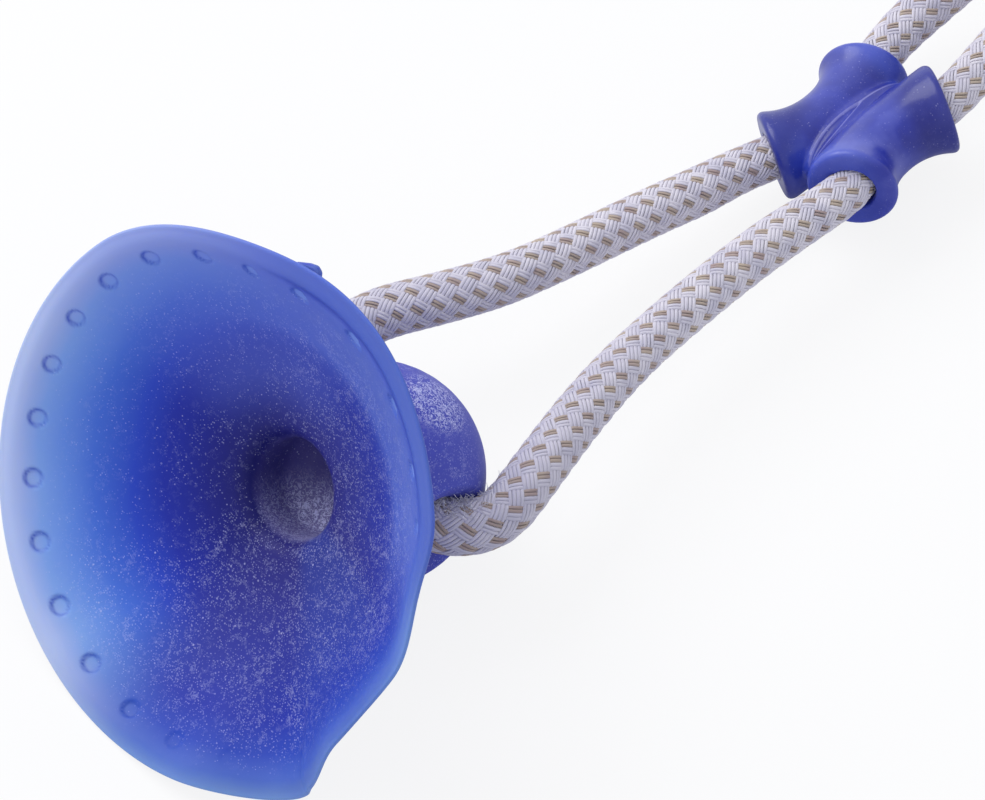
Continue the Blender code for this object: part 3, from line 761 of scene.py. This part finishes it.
def cup_profile():
    """Radius and height, from the recess floor over the bowl and lip to the back of the knob."""
    floor = BOWL_DEPTH + RECESS_DEPTH
    wall = RECESS_DEPTH - RECESS_CORNER - RECESS_SHOULDER
    points = [(0, floor), ((RECESS_RADIUS - RECESS_CORNER) / 2, floor)]
    points += arc((RECESS_RADIUS - RECESS_CORNER, floor - RECESS_CORNER), RECESS_CORNER, math.pi / 2, 0, 8)
    points += [(RECESS_RADIUS, floor - RECESS_CORNER - wall * k / 5) for k in range(1, 5)]
    inner_start = RECESS_RADIUS + RECESS_SHOULDER
    points += arc((inner_start, BOWL_DEPTH + RECESS_SHOULDER), RECESS_SHOULDER, math.pi, 1.5 * math.pi, 7)
    thin = LIP_EDGE / 2
    zone_start, zone_end = DIMPLE_CIRCLE - DIMPLE_ZONE, DIMPLE_CIRCLE + DIMPLE_ZONE
    radii = list(np.linspace(inner_start, zone_start, 22)[1:])
    radii += list(np.linspace(zone_start, zone_end, 15)[1:])
    radii += list(np.linspace(zone_end, CUP_RADIUS - thin, 8)[1:-1])
    points += [(r, float(bowl_height(r))) for r in radii]
    points += arc((CUP_RADIUS - thin, thin), thin, -math.pi / 2, math.pi / 2, 8)
    neck_start = NECK_RADIUS + LIP_THICKNESS
    points += [(r, float(back_height(r))) for r in np.linspace(LAND_INNER, neck_start, 16)]
    start = math.acos(NECK_RADIUS / KNOB_RADIUS)
    neck = KNOB_BEHIND_RIM - KNOB_RADIUS * math.sin(start)
    points.append((NECK_RADIUS, (neck + float(back_height(neck_start))) / 2))
    points += arc((0, KNOB_BEHIND_RIM), KNOB_RADIUS, -start, math.pi / 2, 26)[:-1]
    return points + [(0, KNOB_BEHIND_RIM + KNOB_RADIUS)]


def only(*objects):
    """Makes these the selected objects, the first of them active."""
    for obj in bpy.context.selected_objects:
        obj.select_set(False)
    for obj in objects:
        obj.select_set(True)
    bpy.context.view_layer.objects.active = objects[0]


def modified(obj, kind, **settings):
    """Adds one modifier and applies it."""
    only(obj)
    step = obj.modifiers.new("step", kind)
    for label, value in settings.items():
        setattr(step, label, value)
    bpy.ops.object.modifier_apply(modifier="step")


def face_outward(obj, merge=False):
    """Turns every face outward, and first merges points that coincide if asked to."""
    only(obj)
    bpy.ops.object.mode_set(mode="EDIT")
    bpy.ops.mesh.select_all(action="SELECT")
    if merge:
        bpy.ops.mesh.remove_doubles(threshold=MERGE_DISTANCE)
    bpy.ops.mesh.normals_make_consistent(inside=False)
    bpy.ops.object.mode_set(mode="OBJECT")


def turned(name, points, steps):
    """A closed body turned about Z from a profile whose ends lie on the axis."""
    obj = new_object(name, [(r, 0, z) for r, z in points], [], [(k, k + 1) for k in range(len(points) - 1)])
    modified(obj, "SCREW", steps=steps, render_steps=steps, use_merge_vertices=True,
             merge_threshold=MERGE_DISTANCE)
    face_outward(obj, merge=True)
    return obj


def cut(target, tool, operation="DIFFERENCE"):
    """One exact Boolean, applied; the tool is removed."""
    modified(target, "BOOLEAN", operation=operation, solver="EXACT", object=tool)
    bpy.data.objects.remove(tool, do_unlink=True)


def points_of(obj):
    at = np.empty(len(obj.data.vertices) * 3)
    obj.data.vertices.foreach_get("co", at)
    return at.reshape(-1, 3)


def place_points(obj, at):
    obj.data.vertices.foreach_set("co", np.asarray(at, float).ravel())
    obj.data.update()


def painted(obj, material):
    obj.data.materials.clear()
    obj.data.materials.append(material)


def hump(degrees, centre, half_width):
    """1 at the centre, falling softly to 0 at the half width on both sides."""
    away = np.abs((degrees - centre + 180) % 360 - 180)
    return np.where(away < half_width, np.cos(math.pi / 2 * away / half_width) ** 2, 0)


def polar(at):
    return np.hypot(at[:, 0], at[:, 1]), np.arctan2(at[:, 1], at[:, 0])


def on_open_side(at, radius):
    """True on the bowl and in the recess."""
    middle = (bowl_height(radius) + back_height(radius)) / 2
    return at[:, 2] < np.where(radius > RECESS_RADIUS + RECESS_SHOULDER, middle, BOWL_DEPTH * 1.8)


def bend_lip(at):
    """The soft lip's folds and curls, none on the side that still lies flat."""
    radius, turn = polar(at)
    radius = np.maximum(radius, 1e-9)
    degrees = np.degrees(turn) % 360
    bent = at.copy()
    behind = np.zeros(len(at))
    inward = np.zeros(len(at))
    for centre, half_width, start, back_share, in_share in LIP_WAVE_SHARES:
        reach = np.clip((radius / CUP_RADIUS - start) / (1 - start), 0, 1) ** 1.5
        wave = hump(degrees, centre, half_width) * reach
        behind += wave * back_share * CUP_RADIUS
        inward += wave * in_share * CUP_RADIUS
    fade = 1 - eased(np.clip((at[:, 2] - BOWL_DEPTH) / BOWL_DEPTH, 0, 1))
    bent[:, :2] *= (1 - inward / radius * fade)[:, None]
    bent[:, 2] += behind * fade
    past = CREASE_ANGLE + CREASE_WIDTH - degrees
    onset = eased(np.clip(past / CREASE_WIDTH, 0, 1))
    settle = np.exp(-np.clip(past - CREASE_WIDTH, 0, None) / 16) * (np.abs(past) < 60)
    reach = np.clip((radius / CUP_RADIUS - 0.60) / 0.30, 0, 1)
    bent[:, 2] -= CREASE_RISE * onset * settle * reach * fade
    return bent


cup = turned("suction_cup_body", cup_profile(), CUP_STEPS)
at = points_of(cup)
radius, turn = polar(at)
inner = on_open_side(at, radius)
degrees = np.degrees(turn) % 360
spacing = 2 * math.pi / DIMPLE_COUNT
stretch = sum(math.radians(shift) * hump(degrees, centre, half_width)
              for centre, half_width, shift in DIMPLE_SHIFTS)
off = (((turn - stretch) / spacing) % 1 - 0.5) * spacing * DIMPLE_CIRCLE
slope = -BOWL_ROUNDNESS * BOWL_DEPTH / (LAND_INNER - RECESS_RADIUS)
slope = slope * bowl_share(radius) ** (BOWL_ROUNDNESS - 1)
steep = np.sqrt(1 + slope ** 2)
away = np.hypot(off, (radius - DIMPLE_CIRCLE) * steep) / DIMPLE_RADIUS
hollow = np.where(inner, 1 - eased(np.clip((away - 0.80) / 0.30, 0, 1)), 0)
# ring: a painted shade line round each dimple's edge, weighted to be stronger on one side of the dimple.
ring = np.where(inner, np.exp(-((away - 0.92) / 0.17) ** 2), 0)
ring_shade_side = ((radius - DIMPLE_CIRCLE) * np.cos(turn) - off * np.sin(turn)) / DIMPLE_RADIUS
ring *= np.clip(0.88 + 0.25 * ring_shade_side, 0, 1)
outward = np.stack((np.cos(turn) * -slope / steep, np.sin(turn) * -slope / steep, 1 / steep), 1)
worn = np.where(degrees < 200, np.clip((158 - degrees) / 16, 0, 1), np.clip((degrees - 232) / 34, 0, 1))
hollow, ring = hollow * worn, ring * worn
low, high = GROOVE_ANGLES
window = np.clip((degrees - low) / 14, 0, 1) * np.clip((high - degrees) / 20, 0, 1)
groove = np.where(inner, np.exp(-((radius - GROOVE_RADIUS) / GROOVE_WIDTH) ** 2), 0) * window
place_points(cup, at + outward * (hollow * DIMPLE_DEPTH + groove * GROOVE_DEPTH)[:, None])
mark(cup, "ring", ring)
mark(cup, "hollow", hollow)
mark(cup, "groove", groove)

flare = BEND_RADIUS - ROPE_RADIUS - KNOB_CLEARANCE
mouth = arc((BEND_RADIUS, BEND_START), flare, math.pi, math.pi / 2, 14)
mouth.append((mouth[-1][0] + CUT_OVERRUN, KNOB_RADIUS + CUT_OVERRUN))
mouth = [(r, -h) for r, h in reversed(mouth)] + mouth
mouth = [(0, -KNOB_RADIUS - CUT_OVERRUN)] + mouth + [(0, KNOB_RADIUS + CUT_OVERRUN)]
drill = turned("drill", mouth, 72)
drill.data.transform(Matrix.Translation((0, 0, KNOB_BEHIND_RIM)) @ Matrix.Rotation(math.pi / 2, 4, "Y"))
cut(cup, drill)

at = points_of(cup)
radius, turn = polar(at)
mark(cup, "reach", radius / CUP_RADIUS)
mark(cup, "inner", on_open_side(at, radius))
mark(cup, "behind", at[:, 2] / KNOB_BEHIND_RIM)
mark(cup, "lay", np.stack((np.cos(turn), np.sin(turn), radius / CUP_RADIUS), 1))
place_points(cup, bend_lip(at))

tab = new_object("tab", [(x * MM, y * MM, TAB_MIDDLE) for x, y in TAB_OUTLINE],
                 [tuple(range(len(TAB_OUTLINE)))])
modified(tab, "SOLIDIFY", thickness=TAB_THICKNESS, offset=0)
modified(tab, "BEVEL", width=TAB_THICKNESS * 0.35, segments=4)
face_outward(tab)
cut(cup, tab, "UNION")

# The tab's own points come without marks, so they still read 0 at the rim, where reach is near 1.
marks = cup.data.attributes
reach = np.empty(len(cup.data.vertices), np.float32)
marks["reach"].data.foreach_get("value", reach)
for k in np.flatnonzero(polar(points_of(cup))[0] / CUP_RADIUS - reach > 0.5):
    marks["reach"].data[k].value = 1.0
    marks["inner"].data[k].value = 0.0
    marks["behind"].data[k].value = 0.03
    marks["lay"].data[k].vector = (0.0, 1.0, 1.0)
cup.data.transform(cup_frame)
only(cup)
bpy.ops.object.shade_smooth_by_angle(angle=SMOOTH_ANGLE)


def ramp(factor, *stops):
    """A colour ramp through the given stops, each a place and the colour seen there."""
    node = add(tree_of(factor), "ShaderNodeValToRGB", {"Fac": factor})
    node.color_ramp.elements.remove(node.color_ramp.elements[1])
    node.color_ramp.elements[0].position = stops[0][0]
    node.color_ramp.elements[0].color = shade(*stops[0][1:])
    for place, *colour in stops[1:]:
        node.color_ramp.elements.new(place).color = shade(*colour)
    return node.outputs[0]


def band(value, low, high):
    """0 below low, 1 above high and smooth between."""
    return add(tree_of(value), "ShaderNodeMapRange", {"Value": value, "From Min": low, "From Max": high},
               interpolation_type="SMOOTHSTEP").outputs[0]


def vector_marked(tree, label):
    """The three parts of a vector that is stored at each point."""
    vector = add(tree, "ShaderNodeAttribute", attribute_name=label).outputs["Vector"]
    return add(tree, "ShaderNodeSeparateXYZ", {0: vector}).outputs[:3]


def dots(place, scale, amount, smallest, largest):
    """Round grains: a share of a Voronoi pattern's cells, each with its own size and strength."""
    cells = add(tree_of(place), "ShaderNodeTexVoronoi", {"Vector": place, "Scale": scale})
    own = add(tree_of(place), "ShaderNodeSeparateXYZ", {0: cells.outputs["Color"]}).outputs
    here = sums("MULTIPLY", minus(amount, own[0]), 9.0, clamp=True)
    size = plus(smallest, times(own[1], largest - smallest))
    inside = sums("MULTIPLY", minus(size, cells.outputs["Distance"]), 9.0, clamp=True)
    return times(here, inside, plus(0.45, times(own[2], 0.55)))


def make_powder_group():
    """White moulding powder: grains, short curly streaks and fine worm-like cracked patches."""
    group = bpy.data.node_groups.new("powder", "ShaderNodeTree")
    for label, kind in (("Vector", "Vector"), ("Streak Vector", "Vector"), ("Grains", "Float"),
                        ("Streaks", "Float"), ("Cracks", "Float")):
        group.interface.new_socket(label, in_out="INPUT", socket_type="NodeSocket" + kind)
    group.interface.new_socket("Mask", in_out="OUTPUT", socket_type="NodeSocketFloat")
    place, streak_place, grains, streaks, cracks = group.nodes.new("NodeGroupInput").outputs[:5]
    patches = plus(0.35, times(band(noise(place, 150.0, 3.0, 0.65), 0.34, 0.62), 0.65))
    amount = times(grains, patches)
    coarse = dots(place, 1450.0, times(amount, 0.34), 0.14, 0.34)
    fine = dots(place, 2900.0, amount, 0.22, 0.50)
    thread = noise(place, 1000.0, 1.0, 0.5, 1.3)
    lines = sums("SUBTRACT", 1.0, times(size_of(minus(thread, 0.5)), 13.0), clamp=True)
    broken = band(noise(place, 620.0, 2.0, 0.6), 0.52, 0.60)
    curls = times(lines, broken, times(amount, 0.62))
    drawn = noise(streak_place, 1700.0, 2.5, 0.62, 0.8)
    limit = minus(0.72, times(streaks, patches, 0.15))
    scratches = sums("MULTIPLY", minus(drawn, limit), 7.0, clamp=True)
    scratches = sums("MULTIPLY", scratches, times(streaks, 0.50), clamp=True)
    worms = sums("MULTIPLY", lines, cracks, clamp=True)
    mask = largest_of(coarse, times(fine, 0.75), curls, scratches, worms)
    group.links.new(mask, group.nodes.new("NodeGroupOutput").inputs["Mask"])
    return group


powder_group = make_powder_group()


def powder(place, streak_place, grains, streaks, cracks):
    inputs = {"Vector": place, "Streak Vector": streak_place, "Grains": grains, "Streaks": streaks,
              "Cracks": cracks}
    return add(tree_of(place), "ShaderNodeGroup", inputs, node_tree=powder_group).outputs["Mask"]


cup_rubber, tree, shader = new_material("cup_rubber", Roughness=0.50, Specular_IOR_Level=0.16,
                                        Subsurface_Weight=0.22, Subsurface_Scale=0.004,
                                        Subsurface_Radius=(0.25, 0.45, 1.0))
place = here_in(tree)
lay_x, lay_y, _ = vector_marked(tree, "lay")
reach, inner, behind = (marked(tree, label) for label in ("reach", "inner", "behind"))


def facing(degrees):
    """1 on the side of the cup at this angle, falling to -1 on the other side."""
    angle = math.radians(degrees)
    return plus(times(lay_x, math.cos(angle)), times(lay_y, math.sin(angle)))


cloud = noise(place, 34.0, 3.0, 0.55)
reach_at = plus(reach, times(minus(cloud, 0.5), 0.08))
# Bowl colours by reach: darker towards the recess as painted shade, paler at the thin rim as painted light
# through it. pale is the lit side's copy and deep the shaded side's.
pale = ramp(reach_at, (0.0, 28, 24, 92), (0.20, 26, 26, 102), (0.34, 28, 33, 128), (0.50, 34, 48, 160),
            (0.60, 44, 72, 188), (0.72, 72, 112, 208), (0.80, 104, 144, 220), (0.87, 130, 166, 226),
            (0.93, 168, 184, 228), (1.0, 178, 190, 226))
deep = ramp(reach_at, (0.0, 30, 26, 96), (0.20, 40, 38, 120), (0.34, 46, 50, 140), (0.52, 44, 55, 158),
            (0.58, 52, 68, 170), (0.64, 84, 104, 194), (0.80, 94, 114, 198), (0.90, 92, 112, 198),
            (0.93, 78, 102, 190), (1.0, 82, 104, 184))
# low: the lower side's copy, with painted shade darkening its bowl and painted light on its rim edge.
low = ramp(reach_at, (0.0, 30, 26, 96), (0.20, 42, 40, 118), (0.40, 48, 50, 138), (0.60, 44, 52, 150),
           (0.76, 34, 50, 162), (0.86, 42, 70, 176), (0.94, 78, 106, 190), (1.0, 116, 148, 206))
# top_side: painted light on the upper side of the bowl.
top_side = times(band(facing(54), 0.55, 0.98), 0.34, band(reach, 0.22, 0.46))
fold_side = band(facing(200), 0.88, 0.99)
# Painted light: the dimple hollows paler on the side of the cup at 105 degrees, as light showing through
# thinner rubber.
lit_hollow = times(marked(tree, "hollow"), 0.75, band(facing(105), 0.4, 0.9))
bowl = mixed(band(facing(332), -0.45, 0.75), deep, pale)
bowl = mixed(band(facing(219), 0.30, 0.80), bowl, low)
bowl = tinted(bowl, top_side, 98, 116, 214)
bowl = tinted(bowl, times(fold_side, 0.35), 54, 78, 170)
bowl = tinted(bowl, lit_hollow, 122, 150, 222)
# Painted shade: the dark line round each dimple.
bowl = tinted(bowl, times(marked(tree, "ring"), 0.76), 40, 76, 182)
# Painted shade along the groove inside the rim.
bowl = tinted(bowl, times(marked(tree, "groove"), 0.60), 40, 58, 164)
outside = ramp(behind, (0.0, 90, 110, 184), (0.25, 74, 92, 184), (0.5, 72, 80, 182), (1.0, 76, 82, 180))
skin = mixed(inner, outside, bowl)

far_side = band(facing(142), -0.25, 0.85)
bottom = band(facing(232), 0.0, 0.8)
near_middle = minus(1.0, band(reach, 0.72, 0.97))
spread = sums("ADD", 0.28, plus(times(far_side, 0.50), times(bottom, 0.62)), clamp=True)
on_bowl = times(spread, near_middle, inner)
on_back = times(minus(1.0, inner), times(band(behind, 0.45, 0.75), 0.80))
drawn = times(plus(times(far_side, 0.95), times(bottom, 0.20)), near_middle, inner,
              band(reach, 0.18, 0.28))
from_patch = measured("DISTANCE", place, knob_centre + Vector((0.0114, -0.0044, 0.0158)))
knob_patch = minus(1.0, band(plus(from_patch, times(cloud, 0.004)), 0.0065, 0.0105))
in_recess = minus(1.0, band(reach, 0.165, 0.195))
# The lower side of the recess floor, which gets painted light below and also the cracked powder.
recess_floor = times(in_recess, band(times(facing(240), reach), -0.06, 0.12))
cracked = largest_of(recess_floor, knob_patch)

# The streaks are the same pattern pulled long in one direction across the bowl.
lie = math.radians(130)
streak_way = cup_frame.to_3x3() @ Vector((-math.sin(lie), math.cos(lie), 0))
pull = times(measured("DOT_PRODUCT", place, streak_way), -0.60)
pulled = add(tree, "ShaderNodeVectorMath", {0: streak_way, "Scale": pull}, operation="SCALE").outputs[0]
streak_place = add(tree, "ShaderNodeVectorMath", {0: place, 1: pulled}).outputs[0]
dust = powder(place, streak_place, largest_of(on_bowl, on_back), drawn, cracked)

# Painted light: the recess walls paler, lifting the shade deep in them.
skin = tinted(skin, times(in_recess, 0.60), 88, 82, 150)
# Painted light on the lower side of the recess floor.
skin = tinted(skin, times(recess_floor, 0.75), 124, 120, 166)
skin = tinted(skin, times(dust, plus(0.54, times(cracked, 0.36))), 202, 204, 240)
feed(shader, "Base Color", skin)
feed(shader, "Roughness", sums("ADD", 0.46, times(dust, 0.40), clamp=True))
relief(shader, plus(times(noise(place, 700.0, 3.0, 0.6), 0.35), dust), 0.25)
painted(cup, cup_rubber)
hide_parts("suction_cup")
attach(cup, "cup")


# Slider: one glossy dark blue rubber piece of two curved tubes fused back to back, with flanged
# mouths. The tubes are swept, melted into one body and bored out for the two strands.

SLIDER_BORE = 0.00425
SLIDER_TUBE = 0.0068
TUBE_SIDES = 64
FLANGE_RADIUS = 0.0090
FLANGE_ROUND_SHARE = 0.13
FLANGE_ROUND = 0.0015
MOUTH_ROUND = 0.0003
WEB_HALF_LENGTH = 0.0135
WEB_HALF_WIDTH = 0.0078
WEB_HALF_HEIGHT = 0.0056
SEAM_MIDDLE = -0.0056
SEAM_HALF_LENGTH = 0.0085
SEAM_HALF_WIDTH = 0.0011
SEAM_DEPTH = 0.0006
BODY_VOXEL = 0.00030
BORED_VOXEL = 0.00027


def capped_body(name, rings):
    """A closed body from a row of rings of points, with a flat face at each end."""
    sides = len(rings[0])
    last = (len(rings) - 1) * sides
    faces = tube_faces(len(rings), sides).tolist()
    faces += [list(range(sides))[::-1], [last + i for i in range(sides)]]
    obj = new_object(name, np.concatenate(rings).tolist(), faces)
    face_outward(obj)
    return obj


def swept_tube(name, side, radius_at, overrun):
    """A closed round bar along one strand's arc, its radius given by the share of the half length."""
    turn = (2 * math.pi * np.arange(TUBE_SIDES) / TUBE_SIDES)[:, None]
    flange = 0.88 + 0.12 * np.sin(np.linspace(0.12, math.pi / 2, 12))
    half = np.concatenate((np.linspace(0, 0.88, 26), flange))
    rings = []
    for share in np.concatenate((-half[:0:-1], half)):
        angle = SLIDER_SPREAD * share
        ahead = np.array((math.cos(angle), side * math.sin(angle), 0))
        point = np.array(on_arc(angle, side))
        if abs(share) == 1:
            point = point + ahead * overrun * share
        across = np.array((-ahead[1], ahead[0], 0))
        ring = across * np.cos(turn) + np.array((0, 0, 1.0)) * np.sin(turn)
        rings.append(point + radius_at(abs(share)) * ring)
    return capped_body(name, rings)


def melt(obj, voxel, passes):
    """Remeshes overlapping bodies into one skin and softens its edges."""
    modified(obj, "REMESH", mode="VOXEL", voxel_size=voxel)
    modified(obj, "SMOOTH", factor=0.5, iterations=passes)


def flange_shape(share):
    """The tube widens into its flange, whose edge is rounded off."""
    past = max((share - 1 + FLANGE_ROUND_SHARE) / FLANGE_ROUND_SHARE, 0.0)
    rounding = FLANGE_ROUND * (1 - math.sqrt(max(1 - past * past, 0.0)))
    return SLIDER_TUBE + (FLANGE_RADIUS - SLIDER_TUBE) * share ** 2.4 - rounding


def bore_shape(share):
    return SLIDER_BORE + MOUTH_ROUND * max((share - 0.85) / 0.15, 0.0) ** 2


slider = swept_tube("rope_slider_body", 1, flange_shape, 0)
second = swept_tube("second_tube", -1, flange_shape, 0)
bpy.ops.mesh.primitive_uv_sphere_add(segments=64, ring_count=32, radius=1)
web = bpy.context.object
web.data.transform(Matrix.Diagonal((WEB_HALF_LENGTH, WEB_HALF_WIDTH, WEB_HALF_HEIGHT, 1)))
only(slider, second, web)
bpy.ops.object.join()
melt(slider, BODY_VOXEL, 12)
for side in (1, -1):
    cut(slider, swept_tube("bore", side, bore_shape, CUT_OVERRUN))
melt(slider, BORED_VOXEL, 2)
at = points_of(slider)
seam_share = np.clip(1 - ((at[:, 0] - SEAM_MIDDLE) / SEAM_HALF_LENGTH) ** 2, 0, None)
in_seam = np.clip(1 - np.abs(at[:, 1]) / (SEAM_HALF_WIDTH * seam_share + 1e-6), 0, 1)
sink = np.where(at[:, 2] > 0, in_seam, 0) ** 0.5 * (seam_share > 0)
place_points(slider, at - np.array((0, 0, SEAM_DEPTH)) * sink[:, None])
mark(slider, "local", at)
slider.data.transform(slider_frame)
only(slider)
bpy.ops.object.shade_smooth()

slider_rubber, tree, shader = new_material("slider_rubber", Roughness=0.34, Specular_IOR_Level=0.30,
                                           Subsurface_Weight=0.15, Subsurface_Scale=0.003,
                                           Subsurface_Radius=(0.25, 0.4, 1.0), Coat_Weight=0.30,
                                           Coat_Roughness=0.16)
place = here_in(tree)
along, across, up = vector_marked(tree, "local")
thin_end = band(size_of(along), 0.0085, 0.0130)
under_side = band(times(up, -1.0), -0.004, 0.003)
crest = band(up, 0.0042, 0.0085)
crosswise = band(times(along, across, -1.0), 0.000008, 0.00006)
past_middle = sums("DIVIDE", minus(along, SEAM_MIDDLE), SEAM_HALF_LENGTH)
lens = largest_of(minus(1.0, sums("POWER", size_of(past_middle), 2.0)), 0.0)
beside = size_of(minus(size_of(across), times(lens, SEAM_HALF_WIDTH)))
edge_line = times(minus(1.0, band(beside, 0.00008, 0.00034)), band(up, 0.001, 0.003))
blue = ramp(noise(place, 95.0, 3.0, 0.55), (0.30, 16, 26, 132), (0.50, 36, 48, 158), (0.70, 84, 92, 184))
# Over the random tone: painted light through the thin ends, painted shade underneath, painted light on the
# crest, painted shade in the valley between the tubes, and a painted highlight along the seam's edges.
blue = tinted(blue, times(thin_end, 0.45), 54, 84, 200)
blue = tinted(blue, times(under_side, 0.4), 36, 50, 160)
blue = tinted(blue, times(crest, 0.30), 122, 132, 214)
blue = tinted(blue, times(crosswise, 0.75), 12, 20, 118)
blue = tinted(blue, times(edge_line, 0.5), 150, 150, 212)
blue = tinted(blue, times(powder(place, place, 0.16, 0.0, 0.0), 0.4), 190, 190, 230)
feed(shader, "Base Color", blue)
relief(shader, noise(place, 420.0, 3.0, 0.6), 0.12)
painted(slider, slider_rubber)
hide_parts("rope_slider")
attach(slider, "slider")


# Chew ball: blue rubber with staggered rows of rounded nubs and one long hole that both strands of
# the rope pass through. Its knots hold it on. Modelled as a ball, pressed out in nubs and bored.

BALL_BORE_CLEARANCE = 0.0007
BALL_MOUTH_ROUND = 0.0080
BALL_BORE_SIDES = 96
NUB_HEIGHT = 0.0026
NUBS_AROUND = 10
NUB_ROWS = 5

bpy.ops.mesh.primitive_uv_sphere_add(segments=300, ring_count=200, radius=BALL_RADIUS,
                                     rotation=(0, math.pi / 2, 0))
ball = bpy.context.object
ball.name = "chew_ball_body"
only(ball)
bpy.ops.object.transform_apply(location=True, rotation=True, scale=True)
at = points_of(ball)
latitude = np.arccos(np.clip(at[:, 0] / BALL_RADIUS, -1, 1))
angle = np.arctan2(at[:, 2], at[:, 1])
row = np.floor(NUB_ROWS * latitude / math.pi)
row_wave = np.sin(NUB_ROWS * latitude) ** 2
nub_wave = np.cos(NUBS_AROUND / 2 * (angle - math.pi * row / NUBS_AROUND)) ** 2
fade = eased(np.clip(np.sin(latitude) * 3 - 1.2, 0, 1))
nub = eased(np.clip((row_wave * nub_wave - 0.12) / 0.62, 0, 1))
place_points(ball, at * (1 - NUB_HEIGHT * (1 - nub) * fade / BALL_RADIUS)[:, None])
mark(ball, "nub", nub * fade)

straight = BALL_RADIUS - BALL_MOUTH_ROUND
trumpet = [(straight + BALL_MOUTH_ROUND * math.sin(a), BALL_MOUTH_ROUND * (1 - math.cos(a)))
           for a in (math.pi / 2 * k / 16 for k in range(17))]
trumpet.append((BALL_RADIUS + CUT_OVERRUN, BALL_MOUTH_ROUND + CUT_OVERRUN))
turn = 2 * math.pi * (np.arange(BALL_BORE_SIDES) + 0.5) / BALL_BORE_SIDES
shift = np.where(np.cos(turn) > 0, BALL_STRAND_OFFSET, -BALL_STRAND_OFFSET)
rings = []
for x, grow in [(-x, grow) for x, grow in reversed(trumpet)] + trumpet:
    r = ROPE_RADIUS + BALL_BORE_CLEARANCE + grow
    rings.append(np.stack((np.full(BALL_BORE_SIDES, x), shift + r * np.cos(turn), r * np.sin(turn)), 1))
cut(ball, capped_body("ball_bore", rings))
ball.data.transform(ball_frame)
only(ball)
bpy.ops.object.shade_smooth_by_angle(angle=SMOOTH_ANGLE)

ball_rubber, tree, shader = new_material("ball_rubber", Roughness=0.42, Specular_IOR_Level=0.4,
                                         Subsurface_Weight=0.12, Subsurface_Scale=0.003,
                                         Subsurface_Radius=(0.25, 0.4, 1.0))
place = here_in(tree)
blue = ramp(noise(place, 60.0, 3.0, 0.55), (0.30, 44, 56, 166), (0.55, 56, 74, 184), (0.75, 72, 94, 198))
blue = tinted(blue, times(marked(tree, "nub"), 0.35), 92, 116, 210)
blue = tinted(blue, times(powder(place, place, 0.30, 0.1, 0.0), 0.45), 190, 192, 230)
feed(shader, "Base Color", blue)
relief(shader, noise(place, 600.0, 3.0, 0.6), 0.2)
painted(ball, ball_rubber)
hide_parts("chew_ball")
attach(ball, "ball")


# Floor and light: a plain pale table under a white sky, one broad soft lamp on the far side
# and the sky as fill. The floor keeps the toy's shadow.

FLOOR_SIZE = 6
FLOOR_GLOW = 0.86
SKY_COLOUR = (0.90, 0.93, 1.0, 1)
SKY_STRENGTH = 0.72
WHITE = (1, 1, 1, 1)
LAMP_PLACE = (-0.25, 0.95, 1.15)
LAMP_AIM = Vector((-0.05, 0, 0))
LAMP_SIZE = 1.1
LAMP_POWER = 14

bpy.ops.mesh.primitive_plane_add(size=FLOOR_SIZE, location=(0, 0, 0))
floor = bpy.context.object
floor.name = "floor"
floor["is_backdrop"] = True
floor_mat, tree, shader = new_material("floor", Base_Color=shade(238, 238, 242), Roughness=0.9,
                                       Specular_IOR_Level=0.1)
glow = add(tree, "ShaderNodeEmission", {"Color": WHITE, "Strength": 1.0})
path = add(tree, "ShaderNodeLightPath").outputs
lit = add(tree, "ShaderNodeMixShader", {0: times(path["Is Camera Ray"], FLOOR_GLOW),
                                        1: shader.outputs[0], 2: glow.outputs[0]})
tree.links.new(lit.outputs[0], tree.nodes["Material Output"].inputs[0])
floor.data.materials.append(floor_mat)

world = bpy.data.worlds.new("studio")
bpy.context.scene.world = world
world.use_nodes = True
tree = world.node_tree
sky = tree.nodes["Background"]
sky.inputs["Color"].default_value = SKY_COLOUR
sky.inputs["Strength"].default_value = SKY_STRENGTH
white = add(tree, "ShaderNodeBackground", {"Color": WHITE, "Strength": 1.0})
path = add(tree, "ShaderNodeLightPath").outputs
glossy = largest_of(path["Is Glossy Ray"], path["Is Transmission Ray"])
seen = largest_of(path["Is Camera Ray"], glossy)
mix = add(tree, "ShaderNodeMixShader", {0: seen, 1: sky.outputs[0], 2: white.outputs[0]})
tree.links.new(mix.outputs[0], tree.nodes["World Output"].inputs[0])

bpy.ops.object.light_add(type="AREA", location=LAMP_PLACE)
lamp = bpy.context.object
lamp.name = "softbox"
lamp.data.size = LAMP_SIZE
lamp.data.energy = LAMP_POWER
lamp.rotation_euler = (LAMP_AIM - lamp.location).to_track_quat("-Z", "Y").to_euler()

bpy.context.scene.view_settings.view_transform = "Standard"

low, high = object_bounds()
